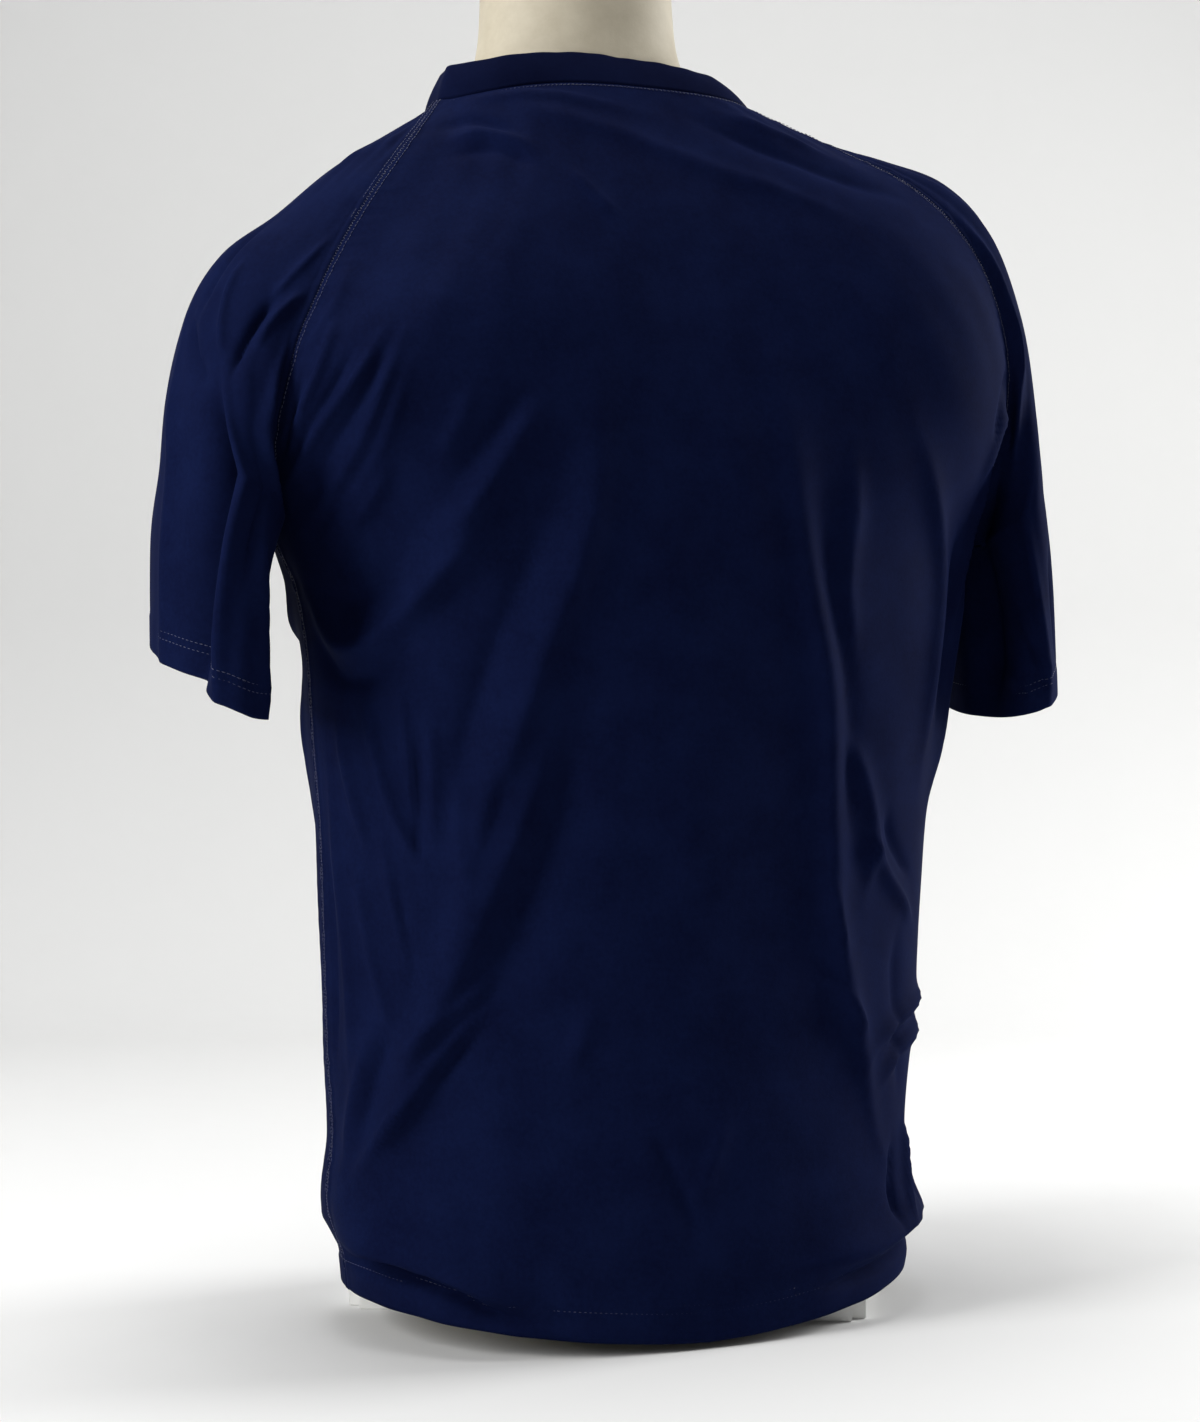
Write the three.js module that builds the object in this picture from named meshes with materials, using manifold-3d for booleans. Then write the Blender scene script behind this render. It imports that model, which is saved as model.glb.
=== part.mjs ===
// A short sleeve training shirt with raglan sleeves, filled out by a limbless torso form on a low base.
// Millimetres, +Z up. The chest faces -Y, the wearer's left is +X, and the origin is on the surface that
// the base stands on, under the middle of the shirt.
import * as THREE from "three";
import { mergeVertices } from "three/addons/utils/BufferGeometryUtils.js";
import Module from "manifold-3d";

// Driving dimensions
const WALL = 1.6; // the knit and its air, as one wall
const SEAM_GAP = 0.3;
const APEX_PULL = 8; // the sleeve hangs clear of the trunk below the underarm point by this many half gaps
const SEAT_GAP = 0.35; // between the cloth and the form that carries it
const PANEL_COLUMNS = 24; // faces across a panel, an even number
const SLEEVE_COLUMNS = 18; // faces round a sleeve, an even number
const LOWER_ROWS = 15; // rows of faces from the hem to the underarm
const UPPER_ROWS = 12; // rows of faces from the underarm to the neck seam
const SLEEVE_ROWS = 5; // rows of faces from the cuff to the underarm
const BAND_HEIGHT = 24;
const BAND_LEAN = 15;
const BAND_TWIST = 0.045; // the lean grows towards the right shoulder
const ARC_HANDLE = 0.5523; // Bezier handle of a quarter of an ellipse, as a share of its side

const BASE = { length: 316, depth: 86, height: 18, corner: 8, turn: 28, back: 32, x: 13 };
const FORM_FOOT = BASE.height + SEAM_GAP;

// The trunk from the hem to the underarm: height, half widths to the wearer's left and right, and how far
// the middle of the back and of the front lie from the centre plane. full is the boxiness of the section.
const TRUNK = [
  { z: 0, left: 178, right: 173, back: 122, front: 118, full: 1.13 },
  { z: 40, left: 181, right: 181, back: 124, front: 120, full: 1.13 },
  { z: 75, left: 192, right: 183, back: 122, front: 119, full: 1.1 },
  { z: 115, left: 189, right: 181, back: 119, front: 117, full: 1.08 },
  { z: 170, left: 192, right: 189, back: 115, front: 117, full: 1.05 },
  { z: 238, left: 194, right: 194, back: 113, front: 120, full: 1.04 },
  { z: 300, left: 196, right: 199, back: 115, front: 124, full: 1.04 },
  { z: 350, left: 200, right: 208, back: 118, front: 129, full: 1.05 },
  { z: 400, left: 203, right: 216, back: 121, front: 133, full: 1.06 },
  { z: 440, left: 210, right: 222, back: 122, front: 135, full: 1.06 },
  { z: 473, left: 224, right: 226, back: 122, front: 134, full: 1.06 },
];

// Hem height round the trunk, from the middle of the back (0) over the side (0.5) to the middle of the front (1).
const HEM = [
  { at: 0, left: 4, right: 4 },
  { at: 0.2, left: 13, right: 13 },
  { at: 0.35, left: 21, right: 21 },
  { at: 0.5, left: 24, right: 22 },
  { at: 0.75, left: 23, right: 22 },
  { at: 1, left: 22, right: 22 },
];

// The middle line of the back and of the front from the underarm to the neck seam. turn is the angle by which
// a row of cloth leaves the raglan seam inwards, away from straight back or straight forward.
const YOKE = [
  { back: 122, backZ: 473, front: 134, frontZ: 473, x: 0, turn: 0 },
  { back: 120, backZ: 515, front: 133, frontZ: 505, x: 0, turn: 16 },
  { back: 114, backZ: 560, front: 128, frontZ: 541, x: 0, turn: 36 },
  { back: 105, backZ: 602, front: 122, frontZ: 572, x: 1, turn: 50 },
  { back: 92, backZ: 640, front: 119, frontZ: 600, x: 2, turn: 60 },
  { back: 75, backZ: 677, front: 115, frontZ: 626, x: 4, turn: 66 },
  { back: 54, backZ: 713, front: 111, frontZ: 649, x: 7, turn: 62 },
  { back: 32, backZ: 745, front: 108, frontZ: 666, x: 10, turn: 40 },
];

// Each sleeve above the underarm. top is the ridge over the shoulder; the seams lie at a turn round the sleeve
// from that ridge, behind and in front, and reach is the half depth of the section there.
const SHOULDER = {
  left: [
    { topX: 287, topY: -6, topZ: 512, backX: 224, backZ: 473, frontX: 224, frontZ: 473, turn: 180, reach: 78 },
    { topX: 283, topY: -6, topZ: 553, backX: 237, backZ: 520, frontX: 221, frontZ: 515, turn: 130, reach: 74 },
    { topX: 273, topY: -7, topZ: 599, backX: 229, backZ: 567, frontX: 211, frontZ: 556, turn: 92, reach: 70 },
    { topX: 253, topY: -8, topZ: 633, backX: 214, backZ: 602, frontX: 195, frontZ: 588, turn: 74, reach: 68 },
    { topX: 220, topY: -10, topZ: 659, backX: 197, backZ: 634, frontX: 177, frontZ: 620, turn: 66, reach: 64 },
    { topX: 186, topY: -13, topZ: 689, backX: 176, backZ: 667, frontX: 156, frontZ: 652, turn: 60, reach: 60 },
    { topX: 150, topY: -18, topZ: 714, backX: 151, backZ: 700, frontX: 133, frontZ: 684, turn: 55, reach: 54 },
    { topX: 121, topY: -26, topZ: 733, backX: 126, backZ: 731, frontX: 113, frontZ: 720, turn: 50, reach: 42 },
  ],
  right: [
    { topX: 272, topY: 0, topZ: 516, backX: 226, backZ: 473, frontX: 226, frontZ: 473, turn: 180, reach: 72 },
    { topX: 267, topY: 0, topZ: 566, backX: 230, backZ: 530, frontX: 219, frontZ: 522, turn: 130, reach: 70 },
    { topX: 262, topY: -2, topZ: 630, backX: 230, backZ: 590, frontX: 210, frontZ: 573, turn: 92, reach: 70 },
    { topX: 246, topY: -5, topZ: 683, backX: 221, backZ: 640, frontX: 195, frontZ: 615, turn: 74, reach: 66 },
    { topX: 217, topY: -9, topZ: 712, backX: 204, backZ: 674, frontX: 176, frontZ: 648, turn: 66, reach: 61 },
    { topX: 177, topY: -13, topZ: 723, backX: 176, backZ: 700, frontX: 150, frontZ: 674, turn: 60, reach: 56 },
    { topX: 135, topY: -18, topZ: 731, backX: 138, backZ: 719, frontX: 120, frontZ: 696, turn: 55, reach: 50 },
    { topX: 76, topY: -26, topZ: 745, backX: 82, backZ: 744, frontX: 73, frontZ: 728, turn: 50, reach: 40 },
  ],
};

// Each empty sleeve below the underarm, from the cuff up: its outer line, its inner line and its half depth.
const SLEEVE = {
  left: [
    { outX: 291, outY: -10, outZ: 398, inX: 236, inY: 6, inZ: 371, reach: 74, dip: 19 },
    { outX: 291, outY: -8, outZ: 438, inX: 237, inY: 4, inZ: 407, reach: 77, dip: 14 },
    { outX: 290, outY: -7, outZ: 477, inX: 234, inY: 0, inZ: 444, reach: 79, dip: 6 },
    { outX: 287, outY: -6, outZ: 512, inX: 224, inY: -6, inZ: 473, reach: 78, dip: 0 },
  ],
  right: [
    { outX: 291, outY: -4, outZ: 390, inX: 236, inY: 10, inZ: 364, reach: 60, dip: 8 },
    { outX: 286, outY: -3, outZ: 434, inX: 234, inY: 7, inZ: 402, reach: 65, dip: 6 },
    { outX: 279, outY: -1, outZ: 477, inX: 231, inY: 3, inZ: 441, reach: 70, dip: 3 },
    { outX: 272, outY: 0, outZ: 516, inX: 226, inY: 0, inZ: 473, reach: 72, dip: 0 },
  ],
};

// The largest folds. On a panel, x runs from -1 at the wearer's right seam to 1 at the left one, and z is a
// height; on a sleeve, x is the turn from the ridge in half turns, positive behind. rise is below 0 in a trough.
const FOLDS = {
  back: [
    { x0: 0.05, z0: 555, x1: 0.62, z1: 120, rise: 9, width: 26 },
    { x0: 0.2, z0: 430, x1: 0.42, z1: 300, rise: -9, width: 22 },
    { x0: -0.38, z0: 560, x1: -0.62, z1: 200, rise: 8, width: 24 },
    { x0: 0.93, z0: 455, x1: 0.62, z1: 405, rise: 9, width: 20 },
    { x0: 0.62, z0: 405, x1: 0.3, z1: 520, rise: 8, width: 20 },
    { x0: -0.75, z0: 400, x1: -0.85, z1: 100, rise: -7, width: 24 },
  ],
  front: [
    { x0: 0.35, z0: 600, x1: 0.5, z1: 60, rise: 9, width: 28 },
    { x0: -0.35, z0: 600, x1: -0.5, z1: 60, rise: 9, width: 28 },
    { x0: 0.02, z0: 430, x1: 0.06, z1: 40, rise: 7, width: 30 },
    { x0: 0.7, z0: 450, x1: 0.78, z1: 80, rise: -8, width: 24 },
    { x0: -0.7, z0: 450, x1: -0.78, z1: 80, rise: -8, width: 24 },
  ],
  left: [{ x0: 0.42, z0: 380, x1: 0.4, z1: 560, rise: -20, width: 30 }],
  right: [{ x0: 0.45, z0: 370, x1: 0.42, z1: 570, rise: -16, width: 30 }],
};

// The form: height, half width and the reach of the back and the front from the centre plane.
const FORM = [
  { z: FORM_FOOT, half: 120, back: 66, front: 70, x: 6 },
  { z: 24, half: 134, back: 84, front: 88, x: 6 },
  { z: 40, half: 145, back: 95, front: 98, x: 6 },
  { z: 75, half: 155, back: 102, front: 104, x: 6 },
  { z: 130, half: 159, back: 102, front: 103, x: 5 },
  { z: 210, half: 156, back: 97, front: 100, x: 4 },
  { z: 290, half: 155, back: 98, front: 104, x: 4 },
  { z: 370, half: 163, back: 107, front: 114, x: 3 },
  { z: 450, half: 175, back: 114, front: 121, x: 2 },
  { z: 520, half: 187, back: 113, front: 120, x: 2 },
  { z: 580, half: 198, back: 106, front: 114, x: 2 },
  { z: 622, half: 201, back: 95, front: 106, x: 3 },
  { z: 650, half: 196, back: 82, front: 97, x: 4 },
  { z: 674, half: 183, back: 68, front: 88, x: 6 },
  { z: 696, half: 160, back: 54, front: 82, x: 9 },
  { z: 716, half: 128, back: 41, front: 79, x: 13 },
  { z: 734, half: 98, back: 32, front: 79, x: 16 },
  { z: 752, half: 76, back: 23, front: 84, x: 19 },
  { z: 775, half: 65, back: 18, front: 88, x: 20 },
  { z: 805, half: 61, back: 16, front: 91, x: 20 },
  { z: 852, half: 60, back: 14, front: 93, x: 20 },
];
const FORM_COLUMNS = 40;
const FORM_CROWN = 6; // the rounded edge of the neck's flat cap

// Cubic interpolation of one named column along a table, with t from 0 at its first row to 1 at its last.
function along(table, column, t) {
  const s = Math.min(Math.max(t, 0), 1) * (table.length - 1);
  const i = Math.min(Math.floor(s), table.length - 2);
  const at = (k) => table[Math.min(Math.max(k, 0), table.length - 1)][column];
  const f = s - i;
  const [p0, p1, p2, p3] = [at(i - 1), at(i), at(i + 1), at(i + 2)];
  const m1 = (p2 - p0) / 2;
  const m2 = (p3 - p1) / 2;
  return (
    (2 * f ** 3 - 3 * f ** 2 + 1) * p1 +
    (f ** 3 - 2 * f ** 2 + f) * m1 +
    (3 * f ** 2 - 2 * f ** 3) * p2 +
    (f ** 3 - f ** 2) * m2
  );
}

// The place in a table, from 0 to 1, where a rising column reaches a value.
function placeOf(table, column, value) {
  const last = table.length - 1;
  const k = table.findIndex((row) => row[column] >= value);
  if (k <= 0) return k === 0 ? 0 : 1;
  const [a, b] = [table[k - 1][column], table[k][column]];
  return (k - 1 + (value - a) / (b - a)) / last;
}

const rad = THREE.MathUtils.degToRad;
const vec = (x, y, z) => new THREE.Vector3(x, y, z);

// A soft ridge or trough: full along its line, fading over its width and near its two ends.
function foldAt(folds, x, z, span) {
  let rise = 0;
  for (const f of folds) {
    const [ax, az] = [f.x0 * span, f.z0];
    const [dx, dz] = [f.x1 * span - ax, f.z1 - az];
    const t = ((x * span - ax) * dx + (z - az) * dz) / (dx * dx + dz * dz);
    const k = Math.min(Math.max(t, 0), 1);
    const off = Math.hypot(x * span - ax - k * dx, z - az - k * dz) / f.width;
    const end = Math.sin(Math.PI * Math.min(Math.max(0.1 + 0.8 * k, 0), 1));
    rise += f.rise * end * Math.exp(-off * off);
  }
  return rise;
}

// One half of a sleeve section above the underarm, from the ridge (u = 0) to the seam (u = 1).
function shoulderPoint(side, behind, t, u) {
  const get = (column) => along(SHOULDER[side], column, t);
  const turn = rad(Math.min(get("turn"), 180));
  const reach = get("reach") * (behind ? 1 : 1.05);
  const top = [get("topX"), get("topZ")];
  const seam = [get(behind ? "backX" : "frontX"), get(behind ? "backZ" : "frontZ")];
  const c = Math.cos(turn);
  const middle = [0, 1].map((k) => (seam[k] - top[k] * c) / (1 - c));
  const a = turn * u;
  const [x, z] = [0, 1].map((k) => middle[k] + (top[k] - middle[k]) * Math.cos(a));
  return vec(x, get("topY") + (behind ? 1 : -1) * reach * Math.sin(a), z);
}

// A sleeve section below the underarm: u from -1 (inner line, by way of the front) over 0 (outer line) to 1.
function sleevePoint(side, t, u) {
  const get = (column) => along(SLEEVE[side], column, t);
  const a = Math.PI * u;
  const outer = vec(get("outX"), get("outY"), get("outZ"));
  const inner = vec(get("inX"), get("inY"), get("inZ"));
  const middle = outer.clone().add(inner).multiplyScalar(0.5);
  const p = middle.clone().addScaledVector(outer.sub(middle), Math.cos(a));
  p.y += get("reach") * Math.sin(a) * (u > 0 ? 1 : 1.05);
  p.z -= get("dip") * Math.sin(a);
  return p;
}

// The rows of a sleeve, each from its front seam to its back seam; below the underarm they close on themselves.
function sleeveRows(side) {
  const sign = side === "left" ? 1 : -1;
  const rows = [];
  for (let j = 0; j <= SLEEVE_ROWS + UPPER_ROWS; j++) {
    const row = [];
    for (let i = 0; i <= SLEEVE_COLUMNS; i++) {
      const u = (2 * i) / SLEEVE_COLUMNS - 1;
      const upper = (j - SLEEVE_ROWS) / UPPER_ROWS;
      const p =
        j < SLEEVE_ROWS
          ? sleevePoint(side, j / SLEEVE_ROWS, u)
          : shoulderPoint(side, u > 0, upper, Math.abs(u));
      row.push(vec(sign * p.x, p.y, p.z));
    }
    rows.push(row);
  }
  return rows;
}

// Half a row of a panel: a Bezier curve from a seam point to the middle line.
function halfRow(seam, middle, heading, full, t) {
  const inward = Math.sign(middle.x - seam.x) || 1;
  const deep = Math.abs(middle.y - seam.y);
  const wide = Math.abs(middle.x - seam.x);
  const back = Math.sign(middle.y - seam.y);
  const reach = ARC_HANDLE * full * THREE.MathUtils.lerp(deep, wide, Math.sin(heading) ** 2);
  const p1 = seam.clone();
  p1.x += inward * reach * Math.sin(heading);
  p1.y += back * reach * Math.cos(heading);
  const p2 = middle.clone();
  p2.x -= inward * ARC_HANDLE * full * wide;
  return new THREE.CubicBezierCurve3(seam, p1, p2, middle).getPoint(t);
}

// The height of the hem at a share of the way round from the middle of the back to the middle of the front.
function hemHeight(side, at) {
  return along(HEM, side, placeOf(HEM, "at", at));
}

// The rows of a panel from the hem to the neck seam, each from the wearer's right seam to the left one.
function panelRows(behind) {
  const back = behind ? 1 : -1;
  const half = PANEL_COLUMNS / 2;
  const column = behind ? "back" : "front";
  const rows = [];
  for (let j = 0; j <= LOWER_ROWS + UPPER_ROWS; j++) {
    const lower = Math.min(j / LOWER_ROWS, 1);
    const upper = Math.max(j - LOWER_ROWS, 0) / UPPER_ROWS;
    const row = [];
    for (let i = 0; i <= PANEL_COLUMNS; i++) {
      const side = i < half ? "right" : "left";
      const sign = i < half ? -1 : 1;
      const t = i < half ? i / half : (PANEL_COLUMNS - i) / half;
      let p;
      if (upper > 0) {
        const seam = shoulderPoint(side, behind, upper, 1);
        seam.x *= sign;
        const middle = vec(
          along(YOKE, "x", upper),
          back * along(YOKE, column, upper),
          along(YOKE, column + "Z", upper),
        );
        p = halfRow(seam, middle, rad(along(YOKE, "turn", upper)), 1.06, t);
      } else {
        const top = TRUNK[TRUNK.length - 1].z;
        const round = (1 - t) * 0.5 + (behind ? 0 : t);
        const hem = hemHeight(side, behind ? round : 1 - round + t);
        const z = hem + lower * (top - hem);
        const at = placeOf(TRUNK, "z", z);
        const get = (name) => along(TRUNK, name, at);
        const seamY = sleevePoint(side, 1, 1).y * lower ** 3;
        const seam = vec(sign * get(side), seamY, z);
        p = halfRow(seam, vec(0, back * get(column), z), 0, get("full"), t);
        p.z = z;
      }
      row.push(p);
    }
    rows.push(row);
  }
  return rows;
}

// Normals of a grid of points, pointing out when the columns run clockwise seen from above.
function gridNormals(rows, closed) {
  const last = rows[0].length - 1;
  return rows.map((row, j) =>
    row.map((_, i) => {
      const wraps = closed(j);
      const left = i > 0 ? row[i - 1] : wraps ? row[last - 1] : row[0];
      const right = i < last ? row[i + 1] : wraps ? row[1] : row[last];
      const below = rows[Math.max(j - 1, 0)][i];
      const above = rows[Math.min(j + 1, rows.length - 1)][i];
      const across = right.clone().sub(left);
      return across.cross(above.clone().sub(below)).normalize();
    }),
  );
}

// One piece of cloth: its rows of points, its normals, and which rows close on themselves.
function piece(name, rows, closed, flip, folds) {
  const normals = gridNormals(rows, closed);
  if (flip) normals.flat().forEach((n) => n.negate());
  return { name, rows, normals, closed, flip, folds };
}

const key = (p) => [p.x, p.y, p.z].map((c) => Math.round(c * 100)).join();

// Pieces that meet share one normal at each seam point, so that their walls end face to face.
function shareNormals(pieces) {
  const sums = new Map();
  const each = (use) =>
    pieces.forEach((one) =>
      one.rows.forEach((row, j) => row.forEach((p, i) => use(key(p), one.normals[j][i]))),
    );
  each((k, n) => sums.set(k, (sums.get(k) ?? vec(0, 0, 0)).add(n)));
  each((k, n) => n.copy(sums.get(k)).normalize());
}

// Moves the points of each piece out by its folds, which fade out at the seams.
function raiseFolds(one) {
  if (!one.folds) return;
  const last = one.rows[0].length - 1;
  const moved = one.rows.map((row, j) =>
    row.map((p, i) => {
      const x = (2 * i) / last - 1;
      const seam = one.closed(j) ? 1 : Math.min(1, 4 * (1 - Math.abs(x)));
      const ends = Math.min(1, (one.rows.length - 1 - j) / 3);
      const rise = foldAt(one.folds, x, p.z, one.span) * seam * ends;
      return p.clone().addScaledVector(one.normals[j][i], rise);
    }),
  );
  one.rows = moved;
}

// The points of a piece, pulled back from its seams and moved out along the normals.
function offsetPoint(one, j, i, out, pull) {
  const { rows, normals, closed } = one;
  const p = rows[j][i].clone();
  const last = rows[0].length - 1;
  const inward = (q) => q.clone().sub(rows[j][i]).normalize().multiplyScalar(pull);
  const shift = vec(0, 0, 0);
  if (!closed(j) && (i === 0 || i === last)) shift.add(inward(rows[j][i === 0 ? 1 : last - 1]));
  if (j === 0 && one.pullFoot) shift.add(inward(rows[1][i]));
  if (j === rows.length - 1 && one.pullTop) shift.add(inward(rows[j - 1][i]));
  const apex = closed(j) && j < rows.length - 1 && !closed(j + 1) && (i === 0 || i === last);
  if (apex) shift.add(inward(rows[j - 1][i]).multiplyScalar(APEX_PULL));
  return p.add(shift).addScaledVector(normals[j][i], out);
}

// The closed wall of a piece: an outer sheet, an inner sheet and the narrow faces between them at each edge.
function wallGeometry(one) {
  const { rows, closed, flip } = one;
  const last = rows[0].length - 1;
  const corners = [];
  const quad = (a, b, c, d) => {
    const order = flip ? [a, c, b, a, d, c] : [a, b, c, a, c, d];
    order.forEach((p) => corners.push(p.x, p.y, p.z));
  };
  const sheets = [WALL / 2, -WALL / 2].map((out) =>
    rows.map((row, j) =>
      row.map((_, i) => offsetPoint(one, j, closed(j) && i === last ? 0 : i, out, SEAM_GAP / 2)),
    ),
  );
  const [outer, inner] = sheets;
  for (let j = 0; j < rows.length - 1; j++) {
    for (let i = 0; i < last; i++) {
      quad(outer[j][i], outer[j][i + 1], outer[j + 1][i + 1], outer[j + 1][i]);
      quad(inner[j][i], inner[j + 1][i], inner[j + 1][i + 1], inner[j][i + 1]);
    }
    if (!(closed(j) && closed(j + 1))) {
      quad(outer[j][0], outer[j + 1][0], inner[j + 1][0], inner[j][0]);
      quad(outer[j][last], inner[j][last], inner[j + 1][last], outer[j + 1][last]);
    }
  }
  const top = rows.length - 1;
  for (let i = 0; i < last; i++) {
    quad(outer[0][i], inner[0][i], inner[0][i + 1], outer[0][i + 1]);
    quad(outer[top][i], outer[top][i + 1], inner[top][i + 1], inner[top][i]);
  }
  return soup(corners);
}

// A geometry from a list of triangle corners, without the faces that shrink to a line.
function soup(corners) {
  const kept = [];
  const same = (a, b) => Math.hypot(a[0] - b[0], a[1] - b[1], a[2] - b[2]) < 1e-4;
  for (let i = 0; i < corners.length; i += 9) {
    const [a, b, c] = [0, 3, 6].map((k) => corners.slice(i + k, i + k + 3));
    if (!same(a, b) && !same(b, c) && !same(c, a)) kept.push(...a, ...b, ...c);
  }
  const position = new THREE.Float32BufferAttribute(kept, 3);
  return new THREE.BufferGeometry().setAttribute("position", position);
}

// The closed loop of the neck seam, clockwise seen from above, starting at the wearer's right back seam.
function neckLoop(back, front, left, right) {
  const top = (one) => one.rows[one.rows.length - 1];
  const loop = [...top(back).slice(0, -1)];
  loop.push(...top(left).slice(1).reverse());
  loop.push(...top(front).slice(1).reverse());
  loop.push(...top(right).slice(0, -1));
  return [...loop, loop[0]];
}

// The neck band: it rises from the neck seam and leans in towards the neck.
function bandRows(loop) {
  const middle = loop.reduce((sum, p) => sum.add(p), vec(0, 0, 0)).divideScalar(loop.length);
  return [0, 1].map((share) =>
    loop.map((p) => {
      const inwards = vec(middle.x - p.x, middle.y - p.y, 0).normalize();
      const lean = BAND_LEAN - BAND_TWIST * p.x;
      const rise = Math.sqrt(BAND_HEIGHT ** 2 - lean ** 2);
      return p.clone().addScaledVector(inwards, lean * share).add(vec(0, 0, rise * share));
    }),
  );
}

const wasm = await Module();
wasm.setup();

function solidFrom(geometry) {
  const merged = mergeVertices(geometry, 1e-3);
  return new wasm.Manifold(
    new wasm.Mesh({
      numProp: 3,
      vertProperties: merged.attributes.position.array,
      triVerts: new Uint32Array(merged.index.array),
    }),
  );
}

function geometryFrom(solid) {
  const made = solid.getMesh();
  return new THREE.BufferGeometry()
    .setAttribute("position", new THREE.BufferAttribute(made.vertProperties, 3))
    .setIndex(new THREE.BufferAttribute(made.triVerts, 1));
}

// The room inside the cloth as one solid, a seat gap smaller than the cloth all round. Each open end is closed
// flat, or at a level above or below it, so that the form can stand out of it there.
function roomInside(pieces, loops) {
  const corners = [];
  const out = -(WALL / 2 + SEAT_GAP);
  const place = (one, j, i) => {
    const k = one.closed(j) && i === one.rows[0].length - 1 ? 0 : i;
    return one.rows[j][k].clone().addScaledVector(one.normals[j][k], out);
  };
  const triangle = (a, b, c) => [a, b, c].forEach((p) => corners.push(p.x, p.y, p.z));
  for (const one of pieces) {
    for (let j = 0; j < one.rows.length - 1; j++) {
      for (let i = 0; i < one.rows[0].length - 1; i++) {
        const [a, b] = [place(one, j, i), place(one, j, i + 1)];
        const [c, d] = [place(one, j + 1, i + 1), place(one, j + 1, i)];
        if (one.flip) [triangle(a, c, b), triangle(a, d, c)];
        else [triangle(a, b, c), triangle(a, c, d)];
      }
    }
  }
  for (const { loop, level } of loops) {
    let ends = loop.map(([one, j, i]) => place(one, j, i));
    if (level !== undefined) {
      const raised = ends.map((p) => vec(p.x, p.y, level));
      ends.forEach((p, k) => {
        const n = (k + 1) % ends.length;
        triangle(raised[k], p, ends[n]);
        triangle(raised[k], ends[n], raised[n]);
      });
      ends = raised;
    }
    const middle = ends.reduce((sum, p) => sum.add(p), vec(0, 0, 0)).divideScalar(ends.length);
    ends.forEach((p, k) => triangle(middle, p, ends[(k + 1) % ends.length]));
  }
  return solidFrom(soup(corners));
}

// The form as a stack of rings, with a rounded edge to the flat cap on its neck.
function formGeometry() {
  const rings = FORM.map(({ z, half, back, front, x }) => ({ z, half, back, front, x }));
  const neck = rings[rings.length - 1];
  const rounded = { ...neck, z: neck.z + FORM_CROWN * 0.7 };
  const crown = { ...neck, z: neck.z + FORM_CROWN };
  for (const [ring, cut] of [[rounded, 0.3], [crown, 1]]) {
    ring.half -= FORM_CROWN * cut;
    ring.back -= FORM_CROWN * cut;
    ring.front -= FORM_CROWN * cut;
    rings.push(ring);
  }
  const points = rings.map(({ z, half, back, front, x }) => {
    const centre = (back - front) / 2;
    const deep = (back + front) / 2;
    return Array.from({ length: FORM_COLUMNS }, (_, i) => {
      const a = (2 * Math.PI * i) / FORM_COLUMNS;
      const [c, s] = [Math.cos(a), Math.sin(a)];
      const boxy = (w) => Math.sign(w) * Math.abs(w) ** 0.92;
      return vec(x + half * boxy(c), centre + deep * boxy(s), z);
    });
  });
  const corners = [];
  const triangle = (...list) => list.forEach((p) => corners.push(p.x, p.y, p.z));
  for (let j = 0; j < points.length - 1; j++) {
    for (let i = 0; i < FORM_COLUMNS; i++) {
      const k = (i + 1) % FORM_COLUMNS;
      triangle(points[j][i], points[j][k], points[j + 1][k]);
      triangle(points[j][i], points[j + 1][k], points[j + 1][i]);
    }
  }
  const [foot, cap] = [points[0], points[points.length - 1]];
  for (let i = 1; i < FORM_COLUMNS - 1; i++) {
    triangle(foot[0], foot[i + 1], foot[i]);
    triangle(cap[0], cap[i], cap[i + 1]);
  }
  return soup(corners);
}

function baseGeometry() {
  const { length, depth, height, corner } = BASE;
  const [x, y] = [length / 2, depth / 2];
  const outline = new THREE.Shape();
  outline.moveTo(-x + corner, -y);
  outline.lineTo(x - corner, -y);
  outline.absarc(x - corner, -y + corner, corner, -Math.PI / 2, 0);
  outline.absarc(x - corner, y - corner, corner, 0, Math.PI / 2);
  outline.absarc(-x + corner, y - corner, corner, Math.PI / 2, Math.PI);
  outline.absarc(-x + corner, -y + corner, corner, Math.PI, 1.5 * Math.PI);
  return new THREE.ExtrudeGeometry(outline, { depth: height, bevelEnabled: false, curveSegments: 5 });
}

const never = () => false;
const back = piece("back", panelRows(true), never, true, FOLDS.back);
const front = piece("front", panelRows(false), never, false, FOLDS.front);
const closesBelow = (j) => j <= SLEEVE_ROWS;
const left = piece("sleeve_left", sleeveRows("left"), closesBelow, false, FOLDS.left);
const right = piece("sleeve_right", sleeveRows("right"), closesBelow, true, FOLDS.right);
const collar = piece("collar", bandRows(neckLoop(back, front, left, right)), () => true, true, null);
const cloth = [back, front, left, right, collar];
[back, front].forEach((one) => Object.assign(one, { span: 215, pullTop: true }));
[left, right].forEach((one) => Object.assign(one, { span: 190, pullTop: true }));
collar.pullFoot = true;

cloth.forEach(raiseFolds);
shareNormals(cloth);

const navy = (name) =>
  new THREE.MeshStandardMaterial({ name, color: 0x17234f, roughness: 0.72, metalness: 0 });
const cream = new THREE.MeshStandardMaterial({ name: "form", color: 0xcfc8b8, roughness: 0.8, metalness: 0 });
const white = new THREE.MeshStandardMaterial({ name: "base", color: 0xe9e9e6, roughness: 0.45, metalness: 0 });

const shirt = new THREE.Group();
for (const one of cloth) {
  const mesh = new THREE.Mesh(wallGeometry(one), navy(one.name));
  mesh.name = one.name;
  shirt.add(mesh);
}

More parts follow.
